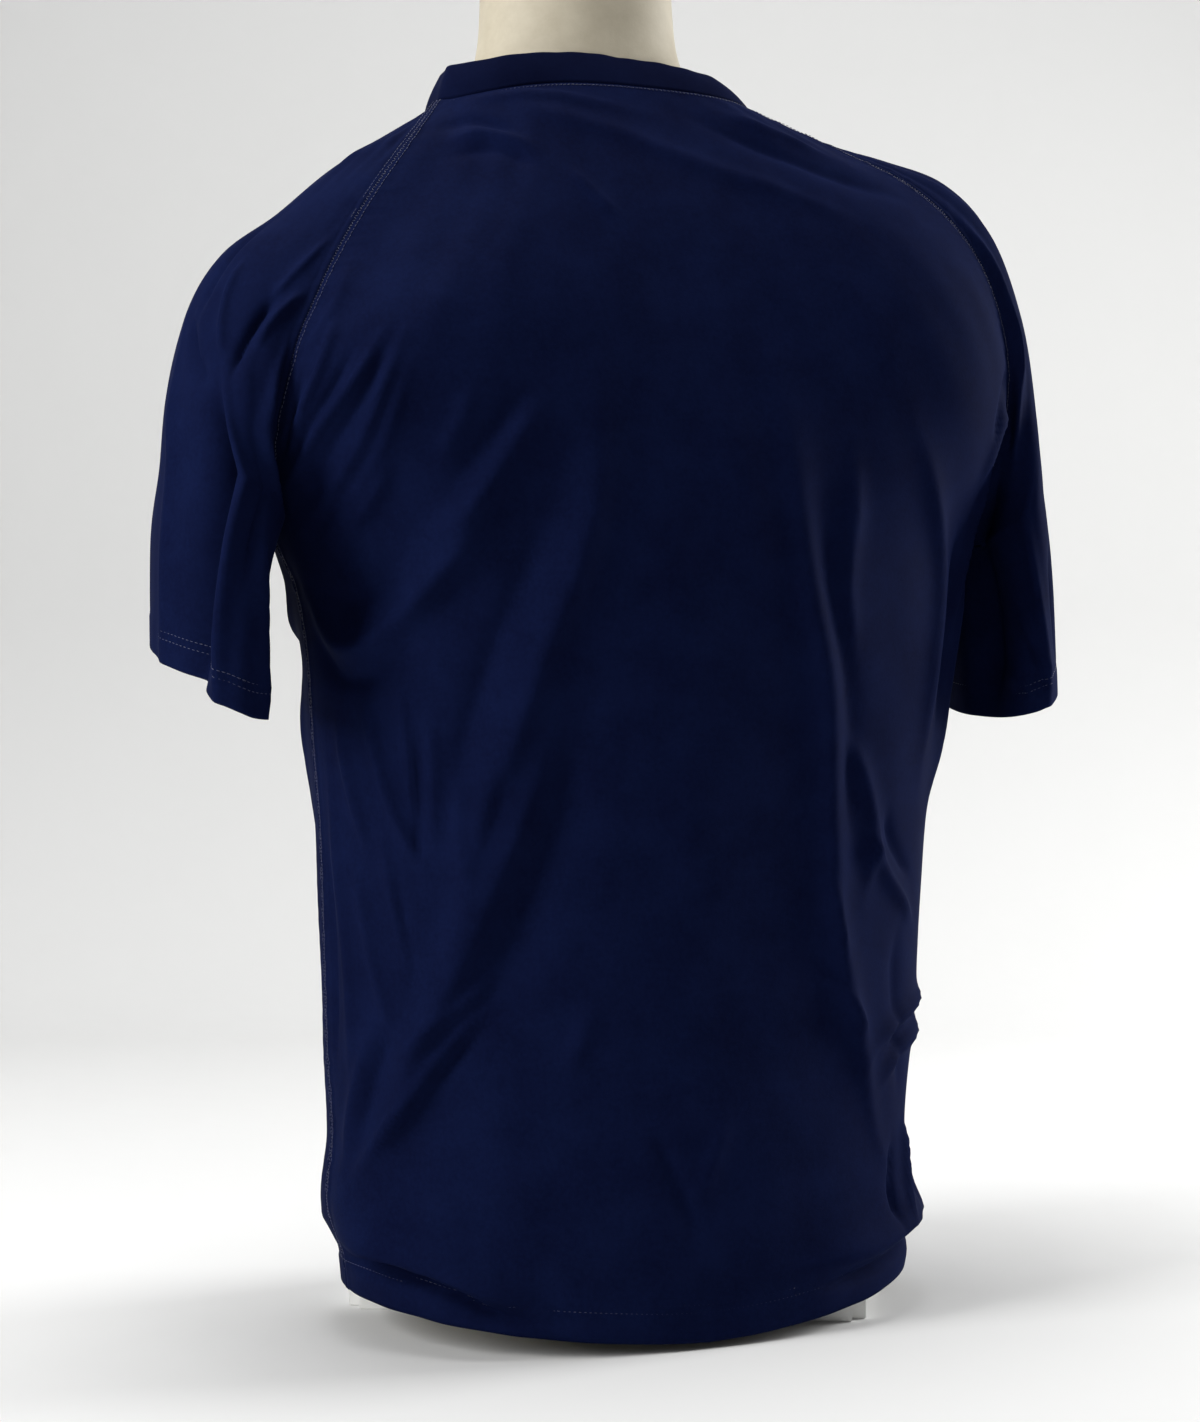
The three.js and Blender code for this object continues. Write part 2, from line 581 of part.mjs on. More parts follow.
// Loops of points that close the room inside the cloth: the two cuffs, the hem and the neck.
const columns = (one, j) => Array.from({ length: one.rows[0].length }, (_, i) => [one, j, i]);
const cuffs = [
  columns(left, 0).slice(0, -1).reverse(),
  columns(right, 0).slice(0, -1),
];
const hem = [...columns(back, 0), ...columns(front, 0).slice(1, -1).reverse()];
const neck = columns(collar, 1).slice(0, -1).reverse();
const room = roomInside(cloth, [
  ...cuffs.map((loop) => ({ loop })),
  { loop: hem, level: -BASE.height },
  { loop: neck, level: FORM[FORM.length - 1].z + 2 * FORM_CROWN },
]);

const form = new THREE.Mesh(geometryFrom(solidFrom(formGeometry()).intersect(room)), cream);
form.name = "form_body";

const base = new THREE.Mesh(baseGeometry(), white);
base.name = "form_base";
base.rotation.z = rad(-BASE.turn);
const baseShift = BASE.back - BASE.depth / 2;
base.position.set(baseShift * Math.sin(rad(BASE.turn)) + BASE.x, baseShift * Math.cos(rad(BASE.turn)), 0);

const model = new THREE.Group();
model.add(shirt, form, base);

export default model;
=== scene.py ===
# %% [markdown]
# # A training shirt on a torso form
# The shirt is thin polyester jersey: a back, a front, two raglan sleeves and a neck band. It hangs on a smooth
# torso form without limbs, which stands on a low white block. The imported CAD model gives every place and size.
# Here each panel is worked out again as a much finer sheet, its creases are laid one by one, and stitches, cloth,
# form and block get their finishes.

import math

import bmesh
import bpy
import numpy as np
from mathutils import Matrix, Vector


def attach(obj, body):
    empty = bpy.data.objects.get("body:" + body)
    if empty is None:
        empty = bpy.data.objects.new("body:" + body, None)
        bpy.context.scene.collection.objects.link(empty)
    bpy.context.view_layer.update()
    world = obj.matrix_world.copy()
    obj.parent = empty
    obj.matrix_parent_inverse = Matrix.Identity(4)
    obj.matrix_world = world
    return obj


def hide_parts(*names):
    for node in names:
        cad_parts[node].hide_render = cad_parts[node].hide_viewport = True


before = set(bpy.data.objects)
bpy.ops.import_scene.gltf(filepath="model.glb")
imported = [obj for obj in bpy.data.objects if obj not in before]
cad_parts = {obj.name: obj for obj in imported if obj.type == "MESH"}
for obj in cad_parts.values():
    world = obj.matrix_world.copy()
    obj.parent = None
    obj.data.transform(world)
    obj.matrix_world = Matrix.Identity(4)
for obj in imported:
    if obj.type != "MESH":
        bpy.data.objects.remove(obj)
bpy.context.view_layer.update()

# %% [markdown]
# Two small helpers come first. Colours are written as sRGB hex values, which Blender wants as linear numbers.
# A node helper adds one node, sets its properties and fills or links its inputs, so that a material reads
# as a short list of steps.

# %% Colour and node helpers
def linear(hex_code):
    """The linear RGBA of an sRGB hex value."""
    parts = [int(hex_code[k : k + 2], 16) / 255 for k in (1, 3, 5)]
    return tuple(c / 12.92 if c <= 0.04045 else ((c + 0.055) / 1.055) ** 2.4 for c in parts) + (1.0,)


def add_node(tree, kind, settings=None, **inputs):
    """Adds a node; inputs are values or sockets, named as on the node with spaces as underscores."""
    node = tree.nodes.new(kind)
    for name, value in (settings or {}).items():
        setattr(node, name, value)
    for name, value in inputs.items():
        key = int(name[1:]) if name[0] == "i" and name[1:].isdigit() else name.replace("_", " ")
        if isinstance(value, bpy.types.NodeSocket):
            tree.links.new(value, node.inputs[key])
        else:
            node.inputs[key].default_value = value
    return node


def new_material(name):
    """An empty node material, its tree and its output node."""
    made = bpy.data.materials.new(name)
    made.use_nodes = True
    made.node_tree.nodes.clear()
    return made, made.node_tree, made.node_tree.nodes.new("ShaderNodeOutputMaterial")


# %% [markdown]
# The camera stands behind the form, turned towards the wearer's left, at the height of the waist and level.
# A focal length of about 61 mm keeps the shoulders from spreading. It is placed before the making starts,
# so that each piece can be judged from it.

# %% Camera
CAMERA_TURN = math.radians(22)
CAMERA_AWAY = 1.5
CAMERA_HEIGHT = 0.366
CAMERA_ASIDE = 0.0174

camera = bpy.data.objects.new("camera", bpy.data.cameras.new("camera"))
bpy.context.scene.collection.objects.link(camera)
bpy.context.scene.camera = camera
camera.data.lens = 61.2
towards = Vector((math.sin(CAMERA_TURN), math.cos(CAMERA_TURN), 0))
aside = Vector((math.cos(CAMERA_TURN), -math.sin(CAMERA_TURN), 0))
camera.location = towards * CAMERA_AWAY + aside * CAMERA_ASIDE + Vector((0, 0, CAMERA_HEIGHT))
camera.rotation_euler = (-towards).to_track_quat("-Z", "Y").to_euler()
print("camera at", [round(v, 3) for v in camera.location])

# %% [markdown]
# ## The cut
# A knitted panel could be sculpted, or pressed out of a flat pattern by a cloth simulation. This one is lofted:
# short tables say how wide and deep the filled shirt is at some heights, and everything between is interpolated
# smoothly. The tables repeat the sizes of the CAD model, in millimetres, so the fine cloth lies on its solid.

# %% Tables of the cut
def table(names, *rows):
    """Named columns from short rows."""
    return {name: np.array([row[k] for row in rows], float) for k, name in enumerate(names.split())}


TRUNK = table(
    "z left right back front full",
    (0, 178, 173, 122, 118, 1.13),
    (40, 181, 181, 124, 120, 1.13),
    (75, 192, 183, 122, 119, 1.1),
    (115, 189, 181, 119, 117, 1.08),
    (170, 192, 189, 115, 117, 1.05),
    (238, 194, 194, 113, 120, 1.04),
    (300, 196, 199, 115, 124, 1.04),
    (350, 200, 208, 118, 129, 1.05),
    (400, 203, 216, 121, 133, 1.06),
    (440, 210, 222, 122, 135, 1.06),
    (473, 224, 226, 122, 134, 1.06),
)
HEM = table(
    "at left right",
    (0, 4, 4),
    (0.2, 13, 13),
    (0.35, 21, 21),
    (0.5, 24, 22),
    (0.75, 23, 22),
    (1, 22, 22),
)
YOKE = table(
    "back backZ front frontZ x turn",
    (122, 473, 134, 473, 0, 0),
    (120, 515, 133, 505, 0, 16),
    (114, 560, 128, 541, 0, 36),
    (105, 602, 122, 572, 1, 50),
    (92, 640, 119, 600, 2, 60),
    (75, 677, 115, 626, 4, 66),
    (54, 713, 111, 649, 7, 62),
    (32, 745, 108, 666, 10, 40),
)
SHOULDER_COLUMNS = "topX topY topZ backX backZ frontX frontZ turn reach"
SHOULDER = {
    "left": table(
        SHOULDER_COLUMNS,
        (287, -6, 512, 224, 473, 224, 473, 180, 78),
        (283, -6, 553, 237, 520, 221, 515, 130, 74),
        (273, -7, 599, 229, 567, 211, 556, 92, 70),
        (253, -8, 633, 214, 602, 195, 588, 74, 68),
        (220, -10, 659, 197, 634, 177, 620, 66, 64),
        (186, -13, 689, 176, 667, 156, 652, 60, 60),
        (150, -18, 714, 151, 700, 133, 684, 55, 54),
        (121, -26, 733, 126, 731, 113, 720, 50, 42),
    ),
    "right": table(
        SHOULDER_COLUMNS,
        (272, 0, 516, 226, 473, 226, 473, 180, 72),
        (267, 0, 566, 230, 530, 219, 522, 130, 70),
        (262, -2, 630, 230, 590, 210, 573, 92, 70),
        (246, -5, 683, 221, 640, 195, 615, 74, 66),
        (217, -9, 712, 204, 674, 176, 648, 66, 61),
        (177, -13, 723, 176, 700, 150, 674, 60, 56),
        (135, -18, 731, 138, 719, 120, 696, 55, 50),
        (76, -26, 745, 82, 744, 73, 728, 50, 40),
    ),
}
SLEEVE_COLUMNS = "outX outY outZ inX inY inZ reach dip"
SLEEVE = {
    "left": table(
        SLEEVE_COLUMNS,
        (291, -10, 398, 236, 6, 371, 74, 19),
        (291, -8, 438, 237, 4, 407, 77, 14),
        (290, -7, 477, 234, 0, 444, 79, 6),
        (287, -6, 512, 224, -6, 473, 78, 0),
    ),
    "right": table(
        SLEEVE_COLUMNS,
        (291, -4, 390, 236, 10, 364, 60, 8),
        (286, -3, 434, 234, 7, 402, 65, 6),
        (279, -1, 477, 231, 3, 441, 70, 3),
        (272, 0, 516, 226, 0, 473, 72, 0),
    ),
}
BAND_HEIGHT = 24
BAND_LEAN = 15
BAND_TWIST = 0.045
ARC_HANDLE = 0.5523


def along(rows, column, t):
    """Smooth interpolation of one column, with t from 0 at the first row to 1 at the last."""
    values = rows[column]
    last = len(values) - 1
    s = np.clip(t, 0, 1) * last
    i = np.minimum(s.astype(int) if isinstance(s, np.ndarray) else int(s), last - 1)
    f = s - i
    p0, p1, p2, p3 = (values[np.clip(i + k, 0, last)] for k in (-1, 0, 1, 2))
    m1, m2 = (p2 - p0) / 2, (p3 - p1) / 2
    return (
        (2 * f**3 - 3 * f**2 + 1) * p1
        + (f**3 - 2 * f**2 + f) * m1
        + (3 * f**2 - 2 * f**3) * p2
        + (f**3 - f**2) * m2
    )


def place_of(rows, column, value):
    """Where in a table, from 0 to 1, a rising column reaches a value."""
    values = rows[column]
    return np.interp(value, values, np.arange(len(values)) / (len(values) - 1))


print("trunk rows", len(TRUNK["z"]), "shoulder rows", len(SHOULDER["left"]["turn"]))

# %% [markdown]
# ## Sections
# Above the underarm a raglan sleeve is an open arc between its two seams, below it a closed tube. A row of a
# panel is two Bezier curves that leave the seams and meet on the centre line. All of it works on whole arrays
# of points at once, which keeps a sheet of forty thousand points quick.

# %% Section functions
def shoulder_points(side, behind, t, u):
    """Points of a sleeve above the underarm, u from 0 on the ridge to 1 at the seam."""
    get = lambda column: along(SHOULDER[side], column, t)
    turn = np.radians(np.minimum(get("turn"), 180))
    reach = get("reach") * (1 if behind else 1.05)
    c = np.cos(turn)
    a = turn * u
    made = []
    for axis in "XZ":
        top, seam = get("top" + axis), get(("back" if behind else "front") + axis)
        middle = (seam - top * c) / (1 - c)
        made.append(middle + (top - middle) * np.cos(a))
    y = get("topY") + (1 if behind else -1) * reach * np.sin(a)
    return np.stack([made[0], y, made[1]], -1)


def sleeve_points(side, t, u):
    """Points of a sleeve below the underarm, u from -1 (inner line, past the front) over 0 (outer line) to 1."""
    get = lambda column: along(SLEEVE[side], column, t)
    a = np.pi * u
    outer = np.stack([get("outX"), get("outY"), get("outZ")], -1)
    inner = np.stack([get("inX"), get("inY"), get("inZ")], -1)
    p = (outer + inner) / 2 + (outer - inner) / 2 * np.cos(a)[..., None]
    p[..., 1] += get("reach") * np.sin(a) * np.where(u > 0, 1, 1.05)
    p[..., 2] -= get("dip") * np.sin(a)
    return p


def half_rows(seam, middle, heading, full, t):
    """Bezier curves from seam points to the centre line, leaving the seam at a heading."""
    wide = np.abs(middle[..., 0] - seam[..., 0])
    deep = np.abs(middle[..., 1] - seam[..., 1])
    inward = np.sign(middle[..., 0] - seam[..., 0])
    back = np.sign(middle[..., 1] - seam[..., 1])
    share = np.sin(heading) ** 2
    reach = ARC_HANDLE * full * (deep * (1 - share) + wide * share)
    zero = np.zeros_like(wide)
    p1 = seam + np.stack([inward * reach * np.sin(heading), back * reach * np.cos(heading), zero], -1)
    p2 = middle - np.stack([inward * ARC_HANDLE * full * wide, zero, zero], -1)
    s = t[..., None]
    return (1 - s) ** 3 * seam + 3 * s * (1 - s) ** 2 * p1 + 3 * s**2 * (1 - s) * p2 + s**3 * middle


def panel_half(side, behind, v, t):
    """One half of a panel: v from 0 at the hem over 1 at the underarm to 2 at the neck seam, t from its seam."""
    sign = 1 if side == "left" else -1
    back = 1 if behind else -1
    column = "back" if behind else "front"
    lower, upper = np.clip(v, 0, 1), np.clip(v - 1, 0, 1)
    at = (1 - t) * 0.5 if behind else 0.5 + t * 0.5
    hem = along(HEM, side, place_of(HEM, "at", at))
    z = hem + lower * (TRUNK["z"][-1] - hem)
    place = place_of(TRUNK, "z", z)
    seam_y = sleeve_points(side, np.array(1.0), np.array(1.0))[1] * lower**3
    seam = np.stack([sign * along(TRUNK, side, place), seam_y, z], -1)
    middle = np.stack([np.zeros_like(z), back * along(TRUNK, column, place), z], -1)
    low = half_rows(seam, middle, np.zeros_like(z), along(TRUNK, "full", place), t)
    seam = shoulder_points(side, behind, upper, np.ones_like(t)) * np.array([sign, 1, 1])
    middle = np.stack([along(YOKE, "x", upper), back * along(YOKE, column, upper), along(YOKE, column + "Z", upper)], -1)
    high = half_rows(seam, middle, np.radians(along(YOKE, "turn", upper)), 1.06, t)
    return np.where((v > 1)[..., None], high, low)


# %% [markdown]
# ## Creases
# A cloth simulation would give creases, but not these ones. So each crease is a soft ridge or trough along a
# short path, given one by one: `u` runs across a panel from -1 at the wearer's right seam to 1 at the left one (on a
# sleeve, the turn from its outer line), and `z` is the height. A row gives the rise in millimetres, the width,
# how much steeper one flank is, and the path. Broad ones carry the drape, narrow ones the crumpled look.

# %% Crease function
def smooth_path(points, steps=6):
    """Points of a short path, with smoothly interpolated ones between them."""
    if len(points) < 3:
        return np.array(points, float)
    rows = {"u": np.array([p[0] for p in points], float), "z": np.array([p[1] for p in points], float)}
    t = np.linspace(0, 1, steps * (len(points) - 1) + 1)
    return np.stack([along(rows, "u", t), along(rows, "z", t)], -1)


def crease_height(creases, u, z, span):
    """How far each point moves out, in mm; span is the real width of u from 0 to 1."""
    total = np.zeros_like(u)
    x = u * span
    for rise, width, lean, points in creases:
        path = smooth_path(points) * np.array([span, 1.0])
        steps = np.linalg.norm(np.diff(path, axis=0), axis=1)
        start = np.concatenate([[0], np.cumsum(steps)])
        reach = 3 * width * (1 + abs(lean))
        near = (x > path[:, 0].min() - reach) & (x < path[:, 0].max() + reach)
        near &= (z > path[:, 1].min() - reach) & (z < path[:, 1].max() + reach)
        if not near.any():
            continue
        px, pz = x[near], z[near]
        best = np.full(px.shape, 1e9)
        side = np.zeros_like(px)
        share = np.zeros_like(px)
        for k, step in enumerate(steps):
            dx, dz = path[k + 1] - path[k]
            t = np.clip(((px - path[k, 0]) * dx + (pz - path[k, 1]) * dz) / step**2, 0, 1)
            ox, oz = px - path[k, 0] - t * dx, pz - path[k, 1] - t * dz
            d = np.hypot(ox, oz)
            closer = d < best
            best = np.where(closer, d, best)
            side = np.where(closer, np.sign(ox * dz - oz * dx), side)
            share = np.where(closer, (start[k] + t * step) / start[-1], share)
        w = width * (1 + lean * side)
        ends = np.clip(np.minimum(share, 1 - share) / 0.3, 0, 1)
        ends = 0.12 + 0.88 * ends * ends * (3 - 2 * ends)
        crest = 0.45 * w
        total[near] += rise * ends * np.exp(-(np.sqrt(best**2 + crest**2) - crest) / (0.62 * w))
    return total


def ripple(u, z, span, size, seed):
    """A gentle unevenness of the cloth, from a few seeded waves."""
    rng = np.random.default_rng(seed)
    total = np.zeros_like(u)
    for _ in range(14):
        a = rng.uniform(0, np.pi)
        wave = rng.uniform(0.6, 1.6) * size
        total += np.sin(2 * np.pi * (u * span * np.cos(a) * 1.5 + z * np.sin(a) * 0.6) / wave + rng.uniform(0, 6.3))
    return total / 14**0.5


# %% [markdown]
# ## The creases of each panel
# The back shows long ridges that run from the shoulder blades down to the hem, a swag that hangs from the left
# underarm, fans of small folds at both armholes, and cloth that sags over the hem. The front gets similar ones.

# %% Crease tables
BACK_CREASES = [
    # the swag from the left underarm, with the cloth above and below it drawn in
    (8, 10, 0.2, [(0.93, 436), (0.86, 411), (0.77, 402), (0.67, 409), (0.55, 432), (0.43, 463), (0.33, 524)]),
    (-4, 8, 0.0, [(0.93, 418), (0.86, 392), (0.77, 384), (0.66, 390), (0.54, 412)]),
    (-4, 9, 0.0, [(0.88, 440), (0.77, 428), (0.66, 436), (0.55, 460)]),
    # the long ridges left of the centre
    (8, 11, -0.3, [(0.17, 560), (0.19, 477), (0.29, 405), (0.36, 350), (0.42, 312), (0.47, 255), (0.62, 178)]),
    (-5, 9, 0.0, [(0.22, 510), (0.28, 468), (0.39, 406), (0.46, 355), (0.51, 300)]),
    (8, 10, -0.2, [(0.27, 380), (0.33, 318), (0.42, 258), (0.49, 221), (0.57, 187), (0.7, 131), (0.78, 104)]),
    (-4, 5, 0.0, [(0.37, 345), (0.43, 292), (0.47, 248)]),
    (-5, 13, 0.0, [(0.2, 390), (0.28, 310), (0.36, 250), (0.44, 200), (0.56, 150)]),
    (5, 5, 0.2, [(0.38, 225), (0.49, 199), (0.62, 176), (0.7, 162)]),
    (6.5, 6, 0.2, [(0.39, 208), (0.53, 174), (0.65, 140), (0.76, 114)]),
    (-4, 4, 0.0, [(0.44, 190), (0.56, 155), (0.66, 126)]),
    (5, 6, 0.0, [(0.52, 165), (0.67, 133), (0.79, 107), (0.86, 92)]),
    (4, 7, 0.0, [(0.73, 190), (0.8, 160), (0.86, 130), (0.9, 97)]),
    (-4, 5, 0.0, [(0.66, 190), (0.76, 150), (0.84, 112)]),
    # slanting ones under the left shoulder blade
    (5, 6, 0.2, [(0.27, 545), (0.34, 507), (0.41, 481), (0.52, 457)]),
    (-3, 5, 0.0, [(0.31, 548), (0.37, 516), (0.45, 488)]),
    (2.5, 5, 0.0, [(0.43, 548), (0.43, 528), (0.47, 503)]),
    (4, 5, 0.0, [(0.57, 508), (0.63, 482), (0.72, 463)]),
    (3, 5, 0.0, [(0.35, 473), (0.5, 439), (0.64, 407)]),
    # the long ridge right of the centre
    (8, 10, 0.3, [(-0.12, 570), (-0.14, 518), (-0.18, 437), (-0.23, 379), (-0.27, 290), (-0.31, 220), (-0.43, 128), (-0.54, 72)]),
    (-5, 9, 0.0, [(-0.19, 520), (-0.22, 450), (-0.28, 380), (-0.32, 320), (-0.35, 270)]),
    (4.5, 6, 0.0, [(-0.27, 525), (-0.27, 483), (-0.26, 437), (-0.3, 385)]),
    (5, 8, 0.2, [(-0.42, 540), (-0.5, 496), (-0.56, 450), (-0.58, 390), (-0.6, 325)]),
    (-5, 9, 0.0, [(-0.66, 490), (-0.68, 420), (-0.68, 350)]),
    (4, 8, 0.0, [(-0.76, 480), (-0.78, 420), (-0.76, 350), (-0.72, 300)]),
    (5, 6, 0.2, [(-0.28, 360), (-0.38, 313), (-0.41, 284), (-0.38, 250)]),
    (4.5, 5, 0.0, [(-0.66, 232), (-0.5, 260), (-0.41, 284), (-0.35, 305)]),
    (-4, 5, 0.0, [(-0.62, 262), (-0.5, 284), (-0.45, 310)]),
    (4, 4, 0.0, [(-0.24, 212), (-0.33, 193), (-0.4, 168)]),
    (4, 4, 0.0, [(-0.31, 215), (-0.28, 248), (-0.25, 275)]),
    (5, 5, 0.0, [(-0.9, 192), (-0.6, 178), (-0.45, 165), (-0.38, 148)]),
    (-4, 3.5, 0.0, [(-0.86, 181), (-0.6, 168), (-0.47, 151)]),
    (4.5, 5, 0.0, [(-0.88, 170), (-0.6, 158), (-0.46, 136)]),
    (-3, 8, 0.0, [(-0.56, 240), (-0.54, 200), (-0.6, 130)]),
    (-5, 4, 0.0, [(-0.56, 105), (-0.51, 75), (-0.54, 48)]),
    (5, 5, 0.0, [(-0.68, 116), (-0.62, 80), (-0.6, 50)]),
    (-5, 6, 0.0, [(-0.8, 125), (-0.77, 88), (-0.7, 56)]),
    (5, 7, 0.0, [(-0.9, 135), (-0.93, 95), (-0.85, 55)]),
    # the middle, which is nearly smooth
    (2, 22, 0.0, [(0.0, 430), (0.02, 300), (0.06, 180), (0.05, 80)]),
    (2.5, 14, 0.0, [(-0.02, 560), (-0.06, 500), (-0.1, 425)]),
    (-3, 4, 0.0, [(0.1, 130), (0.07, 104), (0.04, 80), (0.03, 60)]),
    (2.5, 4, 0.0, [(-0.04, 135), (-0.01, 107), (0.03, 80)]),
    (2.5, 5, 0.0, [(0.2, 202), (0.23, 187), (0.26, 158)]),
    # fine upright creases on the left flank
    (4, 4, 0.0, [(0.74, 380), (0.69, 327), (0.64, 298), (0.56, 268)]),
    (3, 3.5, 0.0, [(0.55, 368), (0.55, 326), (0.56, 284)]),
    (2.5, 3.5, 0.0, [(0.48, 335), (0.49, 298), (0.47, 266)]),
    (4, 5, 0.0, [(0.84, 362), (0.8, 320), (0.74, 280)]),
    (3, 3.5, 0.0, [(0.63, 385), (0.61, 340), (0.6, 296)]),
    (-2.5, 3, 0.0, [(0.58, 354), (0.59, 310), (0.6, 268)]),
    (3, 4.5, 0.0, [(0.71, 304), (0.66, 250), (0.6, 208)]),
    (3, 5, 0.0, [(0.8, 275), (0.74, 220), (0.68, 178)]),
    (-2.5, 3.5, 0.0, [(0.66, 272), (0.63, 235), (0.6, 203)]),
    (3.5, 7, 0.0, [(0.91, 345), (0.88, 270), (0.84, 200), (0.86, 140)]),
    (-3, 7, 0.0, [(0.95, 300), (0.93, 220), (0.94, 150)]),
    # the fan at the left armhole
    (4, 4.5, 0.0, [(0.74, 580), (0.74, 545), (0.84, 510), (0.93, 494)]),
    (-3, 4, 0.0, [(0.8, 572), (0.8, 540), (0.88, 508)]),
    (4, 5, 0.0, [(0.67, 576), (0.64, 527), (0.73, 491), (0.84, 474)]),
    (-3, 4, 0.0, [(0.7, 575), (0.69, 535), (0.79, 496)]),
    (4, 4, 0.0, [(0.92, 590), (0.87, 551), (0.9, 516)]),
    (3, 5, 0.0, [(0.6, 560), (0.59, 520), (0.68, 482), (0.8, 458)]),
    (-3, 4, 0.0, [(0.96, 562), (0.92, 534), (0.95, 505)]),
    (2.5, 5, 0.0, [(0.97, 625), (0.94, 594), (0.95, 565)]),
    # the fan at the right armhole, with the cloth drawn towards it
    (4.5, 5, 0.0, [(-0.96, 520), (-0.85, 500), (-0.74, 460), (-0.7, 410)]),
    (-4, 5, 0.0, [(-0.96, 500), (-0.88, 470), (-0.82, 420)]),
    (4, 6, 0.0, [(-0.96, 556), (-0.84, 540), (-0.74, 505)]),
    (-3, 5, 0.0, [(-0.97, 580), (-0.86, 562), (-0.78, 528)]),
    (4, 7, 0.0, [(-0.95, 450), (-0.9, 400), (-0.87, 330)]),
    # soft ones under the neck band
    (3, 4, 0.0, [(0.9, 729), (0.62, 731), (0.25, 731), (-0.05, 724)]),
    (-3, 4, 0.0, [(0.95, 708), (0.78, 713), (0.52, 704)]),
    (3, 4, 0.0, [(0.9, 699), (0.7, 705), (0.41, 694)]),
    (-2.5, 4, 0.0, [(0.86, 689), (0.65, 694), (0.4, 682)]),
    (3, 8, 0.0, [(0.6, 724), (0.35, 719), (0.09, 709), (-0.08, 693), (-0.28, 680), (-0.57, 661)]),
    (-4, 9, 0.0, [(-0.08, 730), (-0.33, 713), (-0.6, 697), (-0.92, 684)]),
    (3, 6, 0.0, [(-0.3, 732), (-0.55, 721), (-0.8, 707)]),
    (2.5, 4, 0.0, [(0.29, 683), (0.21, 669), (0.13, 652)]),
    # the cloth that sags over the hem
    (12, 10, 0.6, [(0.99, 58), (0.85, 58), (0.7, 55), (0.58, 49), (0.45, 37), (0.33, 30)]),
    (-12, 4, 0.0, [(0.99, 44), (0.77, 44), (0.58, 36), (0.45, 25), (0.31, 20)]),
    (9, 10, -0.6, [(-0.98, 59), (-0.75, 55), (-0.54, 48), (-0.38, 43), (-0.15, 39)]),
    (-10, 4, 0.0, [(-0.98, 44), (-0.75, 40), (-0.54, 34), (-0.38, 29), (-0.19, 28)]),
]

FRONT_CREASES = [
    (9, 15, 0.3, [(0.3, 600), (0.34, 500), (0.42, 380), (0.46, 240), (0.5, 60)]),
    (8, 14, -0.3, [(-0.34, 600), (-0.37, 480), (-0.4, 340), (-0.5, 200), (-0.55, 70)]),
    (6, 16, 0.0, [(0.02, 450), (0.05, 320), (0.02, 180), (0.06, 40)]),
    (-7, 12, 0.0, [(0.68, 450), (0.72, 330), (0.76, 200), (0.8, 80)]),
    (-7, 12, 0.0, [(-0.7, 450), (-0.72, 320), (-0.75, 190), (-0.8, 80)]),
    (7, 12, 0.2, [(0.93, 450), (0.8, 418), (0.66, 420), (0.52, 470)]),
    (7, 12, 0.2, [(-0.93, 450), (-0.82, 412), (-0.66, 410), (-0.5, 460)]),
    (5, 10, 0.0, [(0.86, 400), (0.8, 320), (0.72, 240)]),
    (5, 10, 0.0, [(-0.88, 390), (-0.82, 300), (-0.76, 210)]),
    (4, 7, 0.0, [(0.94, 500), (0.8, 500), (0.62, 540)]),
    (-3, 6, 0.0, [(0.95, 482), (0.8, 478), (0.64, 505)]),
    (4, 7, 0.0, [(-0.94, 505), (-0.8, 505), (-0.6, 550)]),
    (-3, 6, 0.0, [(-0.95, 486), (-0.8, 480), (-0.62, 510)]),
    (-4, 9, 0.0, [(0.2, 380), (0.22, 260), (0.26, 150)]),
    (-4, 9, 0.0, [(-0.2, 400), (-0.22, 300), (-0.26, 160)]),
    (4, 8, 0.0, [(0.6, 190), (0.46, 130), (0.3, 90)]),
    (4, 8, 0.0, [(-0.66, 180), (-0.5, 130), (-0.3, 100)]),
    (5, 10, 0.0, [(0.97, 66), (0.7, 58), (0.4, 52), (0.1, 54)]),
    (-4, 5, 0.0, [(0.98, 46), (0.7, 42), (0.4, 41), (0.15, 42)]),
    (5, 10, 0.0, [(-0.97, 68), (-0.7, 62), (-0.45, 58)]),
    (-4, 5, 0.0, [(-0.98, 46), (-0.7, 42), (-0.48, 41)]),
    (2, 5, 0.0, [(0.5, 668), (0.25, 640), (0.0, 632), (-0.25, 640), (-0.5, 668)]),
]

